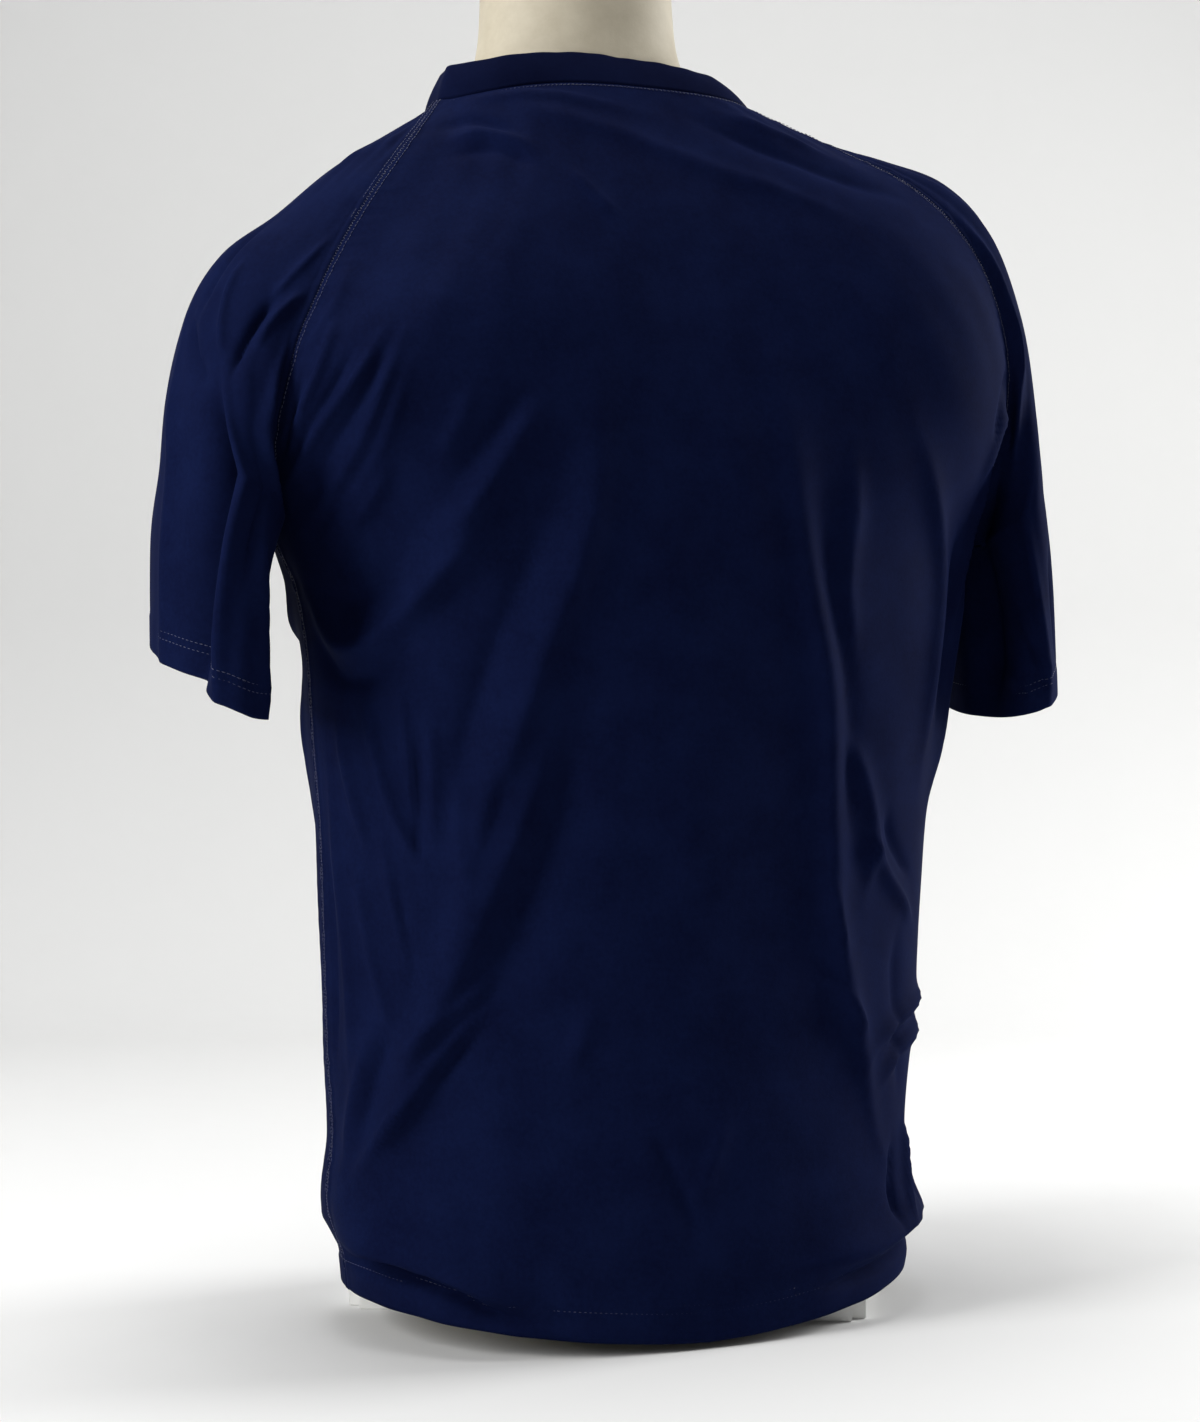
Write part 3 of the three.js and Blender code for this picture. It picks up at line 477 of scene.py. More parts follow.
SLEEVE_CREASES = {
    "left": [
        (-20, 15, 0.0, [(0.44, 560), (0.35, 505), (0.28, 450), (0.24, 400), (0.22, 345)]),
        (9, 9, 0.0, [(0.5, 560), (0.46, 500), (0.42, 440), (0.4, 400), (0.4, 345)]),
        (5, 8, 0.0, [(0.02, 590), (0.08, 513), (0.08, 450), (0.06, 355)]),
        (8, 7, 0.0, [(0.97, 580), (0.86, 540), (0.73, 515), (0.7, 495), (0.8, 476)]),
        (-6, 6, 0.0, [(0.97, 545), (0.88, 515), (0.87, 490)]),
        (-6, 6, 0.0, [(0.8, 604), (0.64, 575), (0.52, 552)]),
        (4, 6, 0.0, [(0.4, 628), (0.44, 590), (0.47, 560)]),
        (-5, 7, 0.0, [(0.12, 592), (0.25, 562), (0.36, 548)]),
        (4, 5, 0.0, [(0.95, 604), (0.82, 588), (0.7, 566)]),
        (-4, 5, 0.0, [(0.62, 500), (0.56, 470), (0.54, 440)]),
        (6, 8, 0.0, [(0.7, 345), (0.68, 400), (0.62, 450), (0.6, 480)]),
        (-4, 7, 0.0, [(0.84, 350), (0.82, 400), (0.78, 440)]),
        (-3, 8, 0.0, [(0.2, 650), (0.22, 620), (0.2, 590)]),
        (2.5, 6, 0.0, [(0.9, 640), (0.8, 612), (0.72, 590)]),
        (2, 8, 0.0, [(0.8, 705), (0.5, 700), (0.1, 690)]),
        (-8, 16, 0.0, [(-0.45, 380), (-0.45, 450), (-0.48, 540)]),
        (5, 12, 0.0, [(-0.7, 360), (-0.68, 440), (-0.62, 520)]),
        (5, 9, 0.0, [(-0.96, 485), (-0.78, 525), (-0.62, 585)]),
        (-4, 8, 0.0, [(-0.92, 470), (-0.74, 500), (-0.6, 550)]),
    ],
    "right": [
        (-15, 17, 0.0, [(0.97, 530), (0.9, 480), (0.86, 420), (0.86, 350)]),
        (4, 8, 0.0, [(0.6, 520), (0.58, 460), (0.52, 400), (0.48, 350)]),
        (4, 5, 0.0, [(0.7, 430), (0.6, 406), (0.48, 388)]),
        (-3, 4, 0.0, [(0.68, 414), (0.58, 392), (0.48, 376)]),
        (4, 5, 0.0, [(0.6, 370), (0.7, 386), (0.8, 384)]),
        (-3, 6, 0.0, [(0.36, 480), (0.4, 440), (0.36, 390)]),
        (4, 14, 0.0, [(0.9, 690), (0.86, 640), (0.84, 590), (0.88, 540)]),
        (3, 6, 0.0, [(0.92, 640), (0.86, 600), (0.88, 560)]),
        (4, 6, 0.0, [(0.98, 590), (0.86, 560), (0.8, 520)]),
        (-3, 6, 0.0, [(0.96, 560), (0.86, 530)]),
        (-8, 14, 0.0, [(-0.45, 380), (-0.45, 450), (-0.48, 540)]),
        (5, 12, 0.0, [(-0.7, 360), (-0.68, 440), (-0.62, 520)]),
        (5, 9, 0.0, [(-0.96, 490), (-0.78, 530), (-0.62, 590)]),
        (-4, 8, 0.0, [(-0.92, 474), (-0.74, 505), (-0.6, 556)]),
    ],
}
print("creases:", len(BACK_CREASES), "back,", len(FRONT_CREASES), "front")

# %% [markdown]
# ## From a grid of points to a knitted wall
# Each panel is one grid. Its normals come from neighbouring points, the creases move it along them, and two
# sheets with a rim close it to a wall as thick as the knit. A hem is the panel turned up inside and stitched
# down, so the outer sheet stands a little proud there and dips at the stitch line.

# %% Grid helpers
MM = 0.001
KNIT = 0.8
HEM_DEEP = 22
CUFF_DEEP = 19


def unit(vectors):
    """The same directions, one long."""
    return vectors / np.maximum(np.linalg.norm(vectors, axis=-1, keepdims=True), 1e-9)


def normals_of(points, closed=False):
    """Unit normals of a grid; closed grids repeat their first column at the end."""
    if closed:
        padded = np.concatenate([points[:, -2:-1], points, points[:, 1:2]], axis=1)
        across = (padded[:, 2:] - padded[:, :-2]) / 2
    else:
        across = np.gradient(points, axis=1)
    return unit(np.cross(across, np.gradient(points, axis=0)))


def edge_distance(points, axis, first=True):
    """Distance in mm along the grid from its first or last row or column."""
    step = np.linalg.norm(np.diff(points, axis=axis), axis=-1)
    pad = np.zeros_like(np.take(step, [0], axis=axis))
    run = np.concatenate([pad, np.cumsum(step, axis=axis)], axis=axis)
    return run if first else np.take(run, [-1], axis=axis) - run


def seam_profile(side, run, seed):
    """What a flatlock seam does to the cloth beside it: a flat raised strip, a groove and a slight pucker."""
    strip = 0.5 * (1 - np.tanh((side - 3.4) / 0.5)) / 2
    groove = -0.2 * np.exp(-((side / 0.9) ** 2)) - 0.3 * np.exp(-(((side - 4.4) / 0.9) ** 2))
    rng = np.random.default_rng(seed)
    waves = sum(np.sin(run * 2 * np.pi / rng.uniform(7, 22) + rng.uniform(0, 6)) for _ in range(5))
    return strip + groove + 0.22 * waves * np.exp(-side / 9) * np.clip(side / 4, 0, 1)


def hem_profile(d, deep):
    """How a turned-up hem stands out: proud below the stitch line, with a dip along it."""
    proud = 0.225 * (1 - np.tanh((d - deep) / 1.4))
    dips = sum(np.exp(-(((d - deep + k) / 0.9) ** 2)) for k in (0, 4.5))
    return proud - 0.4 * dips


def wall_mesh(name, points, normals, material, uv, thick=KNIT, extra=None, joined=0):
    """A closed wall round a grid of mid points: outer sheet, inner sheet and rim.
    The first and last columns meet in that many joined rows, which need no rim between them."""
    rows, columns = points.shape[:2]
    outer = points + normals * (thick / 2 + (0 if extra is None else extra[..., None]))
    inner = points - normals * thick / 2
    verts = np.concatenate([outer.reshape(-1, 3), inner.reshape(-1, 3)]) * MM
    index = np.arange(rows * columns).reshape(rows, columns)
    quad = lambda a, b, c, d: np.stack([a, b, c, d], -1).reshape(-1, 4)
    a, b, c, d = index[:-1, :-1], index[:-1, 1:], index[1:, 1:], index[1:, :-1]
    n = rows * columns
    faces = [quad(a, b, c, d), quad(a + n, d + n, c + n, b + n)]
    for line, turn in ((index[0], 1), (index[-1], -1), (index[joined:, 0], -1), (index[joined:, -1], 1)):
        p, q = (line[:-1], line[1:]) if turn > 0 else (line[1:], line[:-1])
        faces.append(quad(p, p + n, q + n, q))
    faces = np.concatenate(faces)
    mesh = bpy.data.meshes.new(name)
    mesh.from_pydata(verts.tolist(), [], faces.tolist())
    layer = mesh.uv_layers.new(name="cut")
    flat = np.concatenate([uv.reshape(-1, 2)] * 2) * MM
    loops = np.empty(len(mesh.loops), dtype=np.int32)
    mesh.loops.foreach_get("vertex_index", loops)
    layer.data.foreach_set("uv", flat[loops].ravel())
    work = bmesh.new()
    work.from_mesh(mesh)
    bmesh.ops.remove_doubles(work, verts=work.verts, dist=1e-6)
    bmesh.ops.recalc_face_normals(work, faces=work.faces)
    work.to_mesh(mesh)
    work.free()
    mesh.polygons.foreach_set("use_smooth", [True] * len(mesh.polygons))
    mesh.materials.append(material)
    made = bpy.data.objects.new(name, mesh)
    bpy.context.scene.collection.objects.link(made)
    return made


# %% [markdown]
# ## The knit
# Polyester jersey for sport: dyed navy, knitted from bright filament, so it is dull from the front and takes a
# bluish sheen at grazing light. Its wales are about half a millimetre apart, too fine to show here, so a faint bump
# of noise, stretched to 1.4 mm across and 1.1 mm along, stands in for them. The UV map of each panel is its cut in
# metres, so the bump follows it.

# %% Knit and thread materials
WALE = 0.0014
COURSE = 0.0011


def polyester_jersey(name, colour, lighter):
    """Navy polyester jersey: soft sheen, a faint noise bump at the size of wales and courses, slightly uneven dye."""
    made, tree, out = new_material(name)
    uv = add_node(tree, "ShaderNodeUVMap", {"uv_map": "cut"})
    stretch = add_node(tree, "ShaderNodeMapping", Vector=uv.outputs[0])
    stretch.inputs["Scale"].default_value = (1 / WALE, 1 / COURSE, 1)
    place = add_node(tree, "ShaderNodeTexCoord")
    slub = add_node(tree, "ShaderNodeTexNoise", Vector=stretch.outputs[0], Scale=1.0, Detail=2.0)
    bump = add_node(tree, "ShaderNodeBump", Strength=0.3, Distance=0.0003, Height=slub.outputs["Fac"])
    dye = add_node(tree, "ShaderNodeTexNoise", Vector=place.outputs["Object"], Scale=26.0, Detail=4.0, Roughness=0.6)
    fine = add_node(tree, "ShaderNodeTexNoise", Vector=place.outputs["Object"], Scale=420.0, Detail=2.0)
    mixed = add_node(tree, "ShaderNodeMath", {"operation": "MULTIPLY_ADD"}, i0=fine.outputs["Fac"], i1=0.5, i2=dye.outputs["Fac"])
    tone = add_node(tree, "ShaderNodeMapRange", i0=mixed.outputs[0], i1=0.45, i2=1.05, i3=0.0, i4=1.0)
    colour_mix = add_node(tree, "ShaderNodeMix", {"data_type": "RGBA"}, i0=tone.outputs[0])
    colour_mix.inputs[6].default_value = linear(colour)
    colour_mix.inputs[7].default_value = linear(lighter)
    shader = add_node(tree, "ShaderNodeBsdfPrincipled", Base_Color=colour_mix.outputs[2], Normal=bump.outputs[0])
    shader.inputs["Roughness"].default_value = 0.75
    shader.inputs["IOR"].default_value = 1.3
    shader.inputs["Specular IOR Level"].default_value = 0.03
    shader.inputs["Specular Tint"].default_value = linear("#4a66c8")
    shader.inputs["Sheen Weight"].default_value = 0.02
    shader.inputs["Sheen Roughness"].default_value = 0.4
    shader.inputs["Sheen Tint"].default_value = linear("#5a74d6")
    tree.links.new(shader.outputs[0], out.inputs[0])
    return made


def spun_thread(name, colour):
    """Polyester sewing thread: a slightly glossy twisted cord."""
    made, tree, out = new_material(name)
    place = add_node(tree, "ShaderNodeTexCoord")
    fuzz = add_node(tree, "ShaderNodeTexNoise", Vector=place.outputs["Object"], Scale=3000.0)
    bump = add_node(tree, "ShaderNodeBump", Strength=0.3, Distance=0.0001, Height=fuzz.outputs["Fac"])
    shader = add_node(tree, "ShaderNodeBsdfPrincipled", Base_Color=linear(colour), Normal=bump.outputs[0])
    shader.inputs["Roughness"].default_value = 0.45
    shader.inputs["Sheen Weight"].default_value = 0.2
    tree.links.new(shader.outputs[0], out.inputs[0])
    return made


jersey = polyester_jersey("navy polyester jersey", "#0a0f29", "#0f1737")
rib = polyester_jersey("navy collar knit", "#090d24", "#0d132e")
thread = spun_thread("navy sewing thread", "#23284e")

# %% [markdown]
# ## Back and front
# Both panels come from the same function. Near a seam the creases fade out, because the seam holds the cloth,
# and the last millimetres dip, as they do where two layers are lapped and stitched.

# %% Back and front panels
GRID = 3.0
PANEL_SPAN = 235


def ease_join(points, row):
    """The same points with the rows near one row eased into each other; the seams stay where they are."""
    eased = points.copy()
    for _ in range(60):
        eased[1:-1, 1:-1] = (eased[:-2, 1:-1] + 2 * eased[1:-1, 1:-1] + eased[2:, 1:-1]) / 4
    rows = np.abs(np.arange(points.shape[0]) - row)
    columns = np.arange(points.shape[1])
    columns = np.minimum(columns, columns[::-1])
    share = np.exp(-((rows / 12) ** 2))[:, None] * np.clip(columns / 8, 0, 1)
    return points + share[..., None] * (eased - points)


def panel_grid(behind, creases, seed):
    """Points, normals, cut coordinates and hem profile of a panel."""
    half = int(245 / GRID)
    low, high = int(473 / GRID), int(300 / GRID)
    v = np.concatenate([np.linspace(0, 1, low + 1), 1 + np.linspace(0, 1, high + 1)[1:]])
    t = np.linspace(0, 1, half + 1)
    grids = {s: panel_half(s, behind, *np.meshgrid(v, t, indexing="ij")) for s in ("left", "right")}
    points = np.concatenate([grids["right"], grids["left"][:, ::-1][:, 1:]], axis=1)
    points = ease_join(points, low)
    u = np.concatenate([t - 1, 1 - t[::-1][1:]])[None, :] * np.ones((len(v), 1))
    normals = normals_of(points) * (-1 if behind else 1)
    side = np.minimum(edge_distance(points, 1), edge_distance(points, 1, False))
    top = edge_distance(points, 0, False)
    hem = edge_distance(points, 0)
    z = points[..., 2]
    rise = crease_height(creases, u, z, PANEL_SPAN) + 0.35 * ripple(u, z, PANEL_SPAN, 70, seed)
    hold = np.clip(side / 14, 0, 1) * np.clip(top / 8, 0, 1)
    rise = rise * hold + seam_profile(side, hem, seed)
    points = points + normals * rise[..., None]
    points[..., 2] = np.maximum(points[..., 2], 0.9)
    normals = normals_of(points) * (-1 if behind else 1)
    uv = np.stack([u * PANEL_SPAN, hem], -1)
    return points, normals, uv, hem_profile(hem, HEM_DEEP)


panels = {}
for name, behind, creases, seed in (("back", True, BACK_CREASES, 3), ("front", False, FRONT_CREASES, 8)):
    points, normals, uv, extra = panel_grid(behind, creases, seed)
    panels[name] = (points, normals)
    cloth = wall_mesh(name + "_panel", points, normals, jersey, uv, extra=extra)
    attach(cloth, "root")
    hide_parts(name)
    print(name, "points", points.shape[:2], "faces", len(cloth.data.polygons))

# %% [markdown]
# ## Sleeves
# A raglan sleeve runs up to the neck band. Its grid has one row for each section from the cuff up. Below the
# underarm the rows close on themselves, and above it they open along the two seams. The empty sleeve hangs
# collapsed, with one deep fold behind its outer line.

# %% Sleeves
SLEEVE_SPAN = 190


def sleeve_normals(points, low):
    """Normals of a sleeve, whose rows are closed below the underarm."""
    made = normals_of(points)
    made[: low + 1] = normals_of(points[: low + 2], closed=True)[: low + 1]
    return made


def sleeve_grid(side, creases, seed):
    """Points, normals, cut coordinates and hem profile of a sleeve."""
    sign = 1 if side == "left" else -1
    low, high = int(110 / GRID), int(310 / GRID)
    u_line = np.linspace(-1, 1, 2 * int(190 / GRID) + 1)
    t_low, u_low = np.meshgrid(np.linspace(0, 1, low + 1)[:-1], u_line, indexing="ij")
    lower = sleeve_points(side, t_low, u_low)
    t_high, u_high = np.meshgrid(np.linspace(0, 1, high + 1), u_line, indexing="ij")
    behind = shoulder_points(side, True, t_high, np.abs(u_high))
    before = shoulder_points(side, False, t_high, np.abs(u_high))
    upper = np.where((u_high > 0)[..., None], behind, before)
    points = np.concatenate([lower, upper]) * np.array([sign, 1, 1])
    u = np.concatenate([u_low, u_high])
    normals = sleeve_normals(points, low) * sign
    side_run = np.minimum(edge_distance(points, 1), edge_distance(points, 1, False))
    side_run[: low + 1] = 1e3
    top = edge_distance(points, 0, False)
    cuff = edge_distance(points, 0)
    z = points[..., 2]
    rise = crease_height(creases, u, z, SLEEVE_SPAN) + 0.3 * ripple(u, z, SLEEVE_SPAN, 60, seed)
    closing = np.clip((1 - np.abs(u)) / 0.06, 0, 1)
    hold = np.clip(side_run / 12, 0, 1) * np.clip(top / 8, 0, 1) * closing
    rise = rise * hold + seam_profile(side_run, cuff, seed)
    points = points + normals * rise[..., None]
    normals = sleeve_normals(points, low) * sign
    uv = np.stack([u * SLEEVE_SPAN, cuff], -1)
    return points, normals, uv, hem_profile(cuff, CUFF_DEEP), low


sleeves = {}
for side, seed in (("left", 21), ("right", 34)):
    points, normals, uv, extra, low = sleeve_grid(side, SLEEVE_CREASES[side], seed)
    sleeves[side] = (points, normals, low)
    cloth = wall_mesh("sleeve_" + side + "_panel", points, normals, jersey, uv, extra=extra, joined=low)
    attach(cloth, "root")
    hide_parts("sleeve_" + side)
    print("sleeve", side, "points", points.shape[:2])

# %% [markdown]
# ## Neck band
# One strip of the same knit, folded lengthwise and sewn round the opening. Its lower edge follows the top rows
# of the four panels, and it leans in towards the neck. A folded strip is thicker than a panel and has a round
# upper edge, so its section is a slim loop instead of a flat wall.

# %% Neck band
def neck_loop():
    """The neck seam as one closed loop of points, clockwise seen from above."""
    back, front = panels["back"][0][-1], panels["front"][0][-1]
    left, right = sleeves["left"][0][-1], sleeves["right"][0][-1]
    loop = np.concatenate([back[:-1], left[::-1][:-1], front[::-1][:-1], right[:-1]])
    return np.concatenate([loop, loop[:1]])


def even_loop(loop, step):
    """The same loop with evenly spaced, slightly smoothed points."""
    run = np.concatenate([[0], np.cumsum(np.linalg.norm(np.diff(loop, axis=0), axis=1))])
    s = np.linspace(0, run[-1], int(run[-1] / step) + 1)
    even = np.stack([np.interp(s, run, loop[:, k]) for k in range(3)], -1)[:-1]
    for _ in range(16):
        even = (np.roll(even, 1, axis=0) + 2 * even + np.roll(even, -1, axis=0)) / 4
    return np.concatenate([even, even[:1]])


BAND_KNIT = 0.7
BAND_FOLD = 0.45
BAND_BULGE = 1.1
BAND_CLEAR = 1.6


def neck_band():
    """The folded strip: up the outside, over the fold and down the inside, all round the neck seam."""
    loop = even_loop(neck_loop(), 2.0)
    inwards = loop[:-1].mean(axis=0) - loop
    inwards[:, 2] = 0
    inwards = unit(inwards)
    up = np.array([0, 0, 1.0])
    lean = (BAND_LEAN - BAND_TWIST * loop[:, :1]) / BAND_HEIGHT
    rise = np.sqrt(1 - lean**2)
    along_band = inwards * lean + up * rise
    outwards = up * lean - inwards * rise
    run = np.concatenate([[0], np.cumsum(np.linalg.norm(np.diff(loop, axis=0), axis=1))])
    turns = 2 * np.pi * run / run[-1]
    wave = 0.3 * np.sin(11 * turns) + 0.2 * np.sin(27 * turns + 1)
    layer = np.linspace(0, BAND_HEIGHT - BAND_FOLD, 12)
    over = np.linspace(0, np.pi, 7)[1:-1]
    heights = np.concatenate([layer, layer[-1] + BAND_FOLD * np.sin(over), layer[::-1]])
    sides = np.concatenate([np.full(12, BAND_FOLD), BAND_FOLD * np.cos(over), np.full(12, -BAND_FOLD)])
    share = heights / BAND_HEIGHT
    proud = BAND_BULGE * np.sin(np.pi * np.clip(share, 0, 1)) + sides + BAND_CLEAR * share
    points = (
        loop
        + along_band * heights[:, None, None]
        + outwards * (proud[:, None] + wave * share[:, None] ** 2)[..., None]
    )
    cut = np.concatenate([[0], np.cumsum(np.hypot(np.diff(heights), np.diff(sides)))])
    uv = np.stack(np.meshgrid(run, cut), -1)
    normals = normals_of(points, closed=True)
    normals *= np.sign((normals[4] * outwards).sum())
    made = wall_mesh("neck_band", points, normals, rib, uv, thick=BAND_KNIT, joined=len(points))
    return made, loop, outwards, run[-1]


band, seam_loop, band_out, seam_length = neck_band()
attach(band, "root")
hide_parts("collar")
print("neck seam is", round(seam_length), "mm round")

# %% [markdown]
# ## Stitches
# Flat seams on sports shirts are closed with flatlock: two lines of short stitches, with thread between them.
# The hems have two plain lines. A seam is a list of points, each with a direction along the seam and one out of
# the cloth. Geometry Nodes sets one small thread loop on each point, which is quicker than modelling thousands
# of them; two named inputs, Length and Thread, give their size, and the loops are then made a plain mesh.

# %% Stitch tree
def stitch_tree():
    """A node tree that lays one thread loop on each vertex, turned by the attributes along and out."""
    tree = bpy.data.node_groups.new("stitches", "GeometryNodeTree")
    sockets = (("Seam", "Geometry", None), ("Length", "Float", 0.002), ("Thread", "Float", 0.0004))
    for name, kind, value in sockets:
        socket = tree.interface.new_socket(name=name, in_out="INPUT", socket_type="NodeSocket" + kind)
        if value is not None:
            socket.default_value = value
    tree.interface.new_socket(name="Stitches", in_out="OUTPUT", socket_type="NodeSocketGeometry")
    start = tree.nodes.new("NodeGroupInput")
    end = tree.nodes.new("NodeGroupOutput")
    names = {}
    for name in ("along", "out"):
        names[name] = add_node(tree, "GeometryNodeInputNamedAttribute", {"data_type": "FLOAT_VECTOR"}, Name=name)
    turned = add_node(
        tree,
        "FunctionNodeAxesToRotation",
        {"primary_axis": "Z", "secondary_axis": "X"},
        i0=names["out"].outputs[0],
        i1=names["along"].outputs[0],
    )
    ball = add_node(tree, "GeometryNodeMeshUVSphere", None, Segments=6, Rings=4, Radius=0.5)
    size = add_node(tree, "ShaderNodeCombineXYZ", None, X=start.outputs[1], Y=start.outputs[2], Z=start.outputs[2])
    loop = add_node(tree, "GeometryNodeTransform", None, Geometry=ball.outputs[0], Scale=size.outputs[0])
    laid = add_node(
        tree,
        "GeometryNodeInstanceOnPoints",
        None,
        Points=start.outputs[0],
        Instance=loop.outputs[0],
        Rotation=turned.outputs[0],
    )
    real = add_node(tree, "GeometryNodeRealizeInstances", None, Geometry=laid.outputs[0])
    soft = add_node(tree, "GeometryNodeSetShadeSmooth", None, Geometry=real.outputs[0])
    dyed = add_node(tree, "GeometryNodeSetMaterial", None, Geometry=soft.outputs[0], Material=thread)
    tree.links.new(dyed.outputs[0], end.inputs[0])
    return tree


STITCHES = stitch_tree()


def stitch_row(path, outs, step, aside=0.0, zigzag=0.0, lift=0.55):
    """Evenly spaced stitch places along a path: positions, directions and outward normals, in mm."""
    run = np.concatenate([[0], np.cumsum(np.linalg.norm(np.diff(path, axis=0), axis=1))])
    s = np.arange(step / 2, run[-1], step)
    p = np.stack([np.interp(s, run, path[:, k]) for k in range(3)], -1)
    n = unit(np.stack([np.interp(s, run, outs[:, k]) for k in range(3)], -1))
    d = unit(np.gradient(p, axis=0))
    across = unit(np.cross(n, d))
    sign = np.where(np.arange(len(s)) % 2, 1, -1)[:, None]
    p = p + across * aside + n * lift
    return p, unit(d + across * zigzag * sign), n


def lay_stitches(name, rows, length, thick=0.45):
    """One mesh of thread loops for several rows of stitch places."""
    p, d, n = (np.concatenate([row[k] for row in rows]) for k in range(3))
    mesh = bpy.data.meshes.new(name)
    mesh.from_pydata((p * MM).tolist(), [], [])
    for key, values in (("along", d), ("out", n)):
        mesh.attributes.new(key, "FLOAT_VECTOR", "POINT").data.foreach_set("vector", values.ravel())
    made = bpy.data.objects.new(name, mesh)
    bpy.context.scene.collection.objects.link(made)
    modifier = made.modifiers.new("stitches", "NODES")
    modifier.node_group = STITCHES
    keys = {item.name: item.identifier for item in STITCHES.interface.items_tree if item.in_out == "INPUT"}
    modifier[keys["Length"]] = length * MM
    modifier[keys["Thread"]] = thick * MM
    graph = bpy.context.evaluated_depsgraph_get()
    plain = bpy.data.meshes.new_from_object(made.evaluated_get(graph), depsgraph=graph)
    made.modifiers.clear()
    made.data = plain
    plain.name = name
    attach(made, "root")
    print(name, len(p), "stitches")
    return made


# %% [markdown]
# The seam lines are read off the finished grids: the edge columns of the panels, and the rows of the hem and
# the cuffs at the depth of the hem. So the stitches sit on the creased cloth, wherever it went.

# %% Lay the stitches
def grid_line(points, normals, distance, deep):
    """The line of points at a distance from the first row of a grid."""
    rows = np.array([np.interp(deep, distance[:, c], np.arange(len(distance))) for c in range(points.shape[1])])
    low = np.floor(rows).astype(int)
    f = (rows - low)[:, None]
    columns = np.arange(points.shape[1])
    pick = lambda g: g[low, columns] * (1 - f) + g[np.minimum(low + 1, len(g) - 1), columns] * f
    return pick(points), unit(pick(normals))


def hem_rows(points, normals, deep):
    """Two lines of stitches at the depth of a hem."""
    distance = edge_distance(points, 0)
    return [stitch_row(*grid_line(points, normals, distance, deep - k), 3.0, lift=0.35) for k in (0, 4.5)]


low_rows = int(473 / GRID)
raglans = []
for side, column in (("left", -1), ("right", 0)):
    for panel, edge in (("back", column), ("front", column)):
        points, normals = panels[panel]
        line = slice(low_rows, None)
        path, outs = points[line, edge], normals[line, edge]
        raglans += [stitch_row(path, outs, 2.6, aside=k, lift=0.55) for k in (-2.6, 2.6)]
        raglans.append(stitch_row(path, outs, 1.9, zigzag=1.6, lift=0.5))
lay_stitches("raglan_stitches", raglans, 2.1)

sides = []
for side, column in (("left", -1), ("right", 0)):
    points, normals = panels["back"]
    path, outs = points[:low_rows, column], normals[:low_rows, column]
    sides += [stitch_row(path, outs, 2.6, aside=k, lift=0.5) for k in (-2.4, 2.4)]
    sides.append(stitch_row(path, outs, 1.9, zigzag=1.6, lift=0.45))
lay_stitches("side_stitches", sides, 2.1)

hems = []
for panel in ("back", "front"):
    hems += hem_rows(*panels[panel], HEM_DEEP)
for side in ("left", "right"):
    points, normals, low = sleeves[side]
    hems += hem_rows(points, normals, CUFF_DEEP)
lay_stitches("hem_stitches", hems, 2.4, thick=0.5)

neck = [stitch_row(seam_loop, band_out, 2.6, aside=k, lift=0.9) for k in (-2.2, 2.2)]
lay_stitches("neck_stitches", neck, 2.1)

# %% [markdown]
# ## Form and block
# The form is a hollow moulding with a cream, slightly mottled coat. Only its neck and the little that shows at
# the hem can be seen, but it is whole. It is lofted from the rings of the CAD model, with many more of them.
# The block under it is painted white.

# %% Form
FORM = table(
    "z half back front x",
    (18.3, 120, 66, 70, 6),
    (24, 134, 84, 88, 6),
    (40, 145, 95, 98, 6),
    (75, 155, 102, 104, 6),
    (130, 159, 102, 103, 5),
    (210, 156, 97, 100, 4),
    (290, 155, 98, 104, 4),
    (370, 163, 107, 114, 3),
    (450, 175, 114, 121, 2),
    (520, 187, 113, 120, 2),
    (580, 198, 106, 114, 2),
    (622, 201, 95, 106, 3),
    (650, 196, 82, 97, 4),
    (674, 183, 68, 88, 6),
    (696, 160, 54, 82, 9),
    (716, 128, 41, 79, 13),
    (734, 98, 32, 79, 16),
    (752, 76, 23, 84, 19),
    (775, 65, 18, 88, 20),
    (805, 61, 16, 91, 20),
    (852, 60, 14, 93, 20),
)
FORM_CROWN = 6
FORM_SLIM = 5  # the form keeps this much clear of the creased cloth where it is hidden


def moulded_form():
    """The torso as closed rings, rounded over at the neck."""
    t = np.linspace(0, 1, 150)
    rings = {name: along(FORM, name, t) for name in FORM}
    slim = FORM_SLIM * np.clip((748 - rings["z"]) / 20, 0, 1) * np.clip((rings["z"] - 18.3) / 8, 0, 1)
    for name in ("half", "back", "front"):
        rings[name] = rings[name] - slim
    for k in range(1, 9):
        a = math.pi / 2 * k / 8
        cut = FORM_CROWN * (1 - math.cos(a))
        for name in rings:
            value = rings[name][149]
            if name == "z":
                value += FORM_CROWN * math.sin(a)
            elif name != "x":
                value -= cut
            rings[name] = np.append(rings[name], value)
    a = np.linspace(0, 2 * np.pi, 97)[:-1]
    boxy = lambda w: np.sign(w) * np.abs(w) ** 0.92
    work = bmesh.new()
    loops = []
    for z, half, back, front, x in zip(*(rings[name] for name in FORM)):
        xs = x + half * boxy(np.cos(a))
        ys = (back - front) / 2 + (back + front) / 2 * boxy(np.sin(a))
        loops.append([work.verts.new((px * MM, py * MM, z * MM)) for px, py in zip(xs, ys)])
    for low, high in zip(loops, loops[1:]):
        for i in range(len(low)):
            j = (i + 1) % len(low)
            work.faces.new((low[i], low[j], high[j], high[i]))
    work.faces.new(loops[0][::-1])
    work.faces.new(loops[-1])
    mesh = bpy.data.meshes.new("torso_form")
    work.to_mesh(mesh)
    work.free()
    mesh.polygons.foreach_set("use_smooth", [len(f.vertices) == 4 for f in mesh.polygons])
    made = bpy.data.objects.new("torso_form", mesh)
    bpy.context.scene.collection.objects.link(made)
    return made


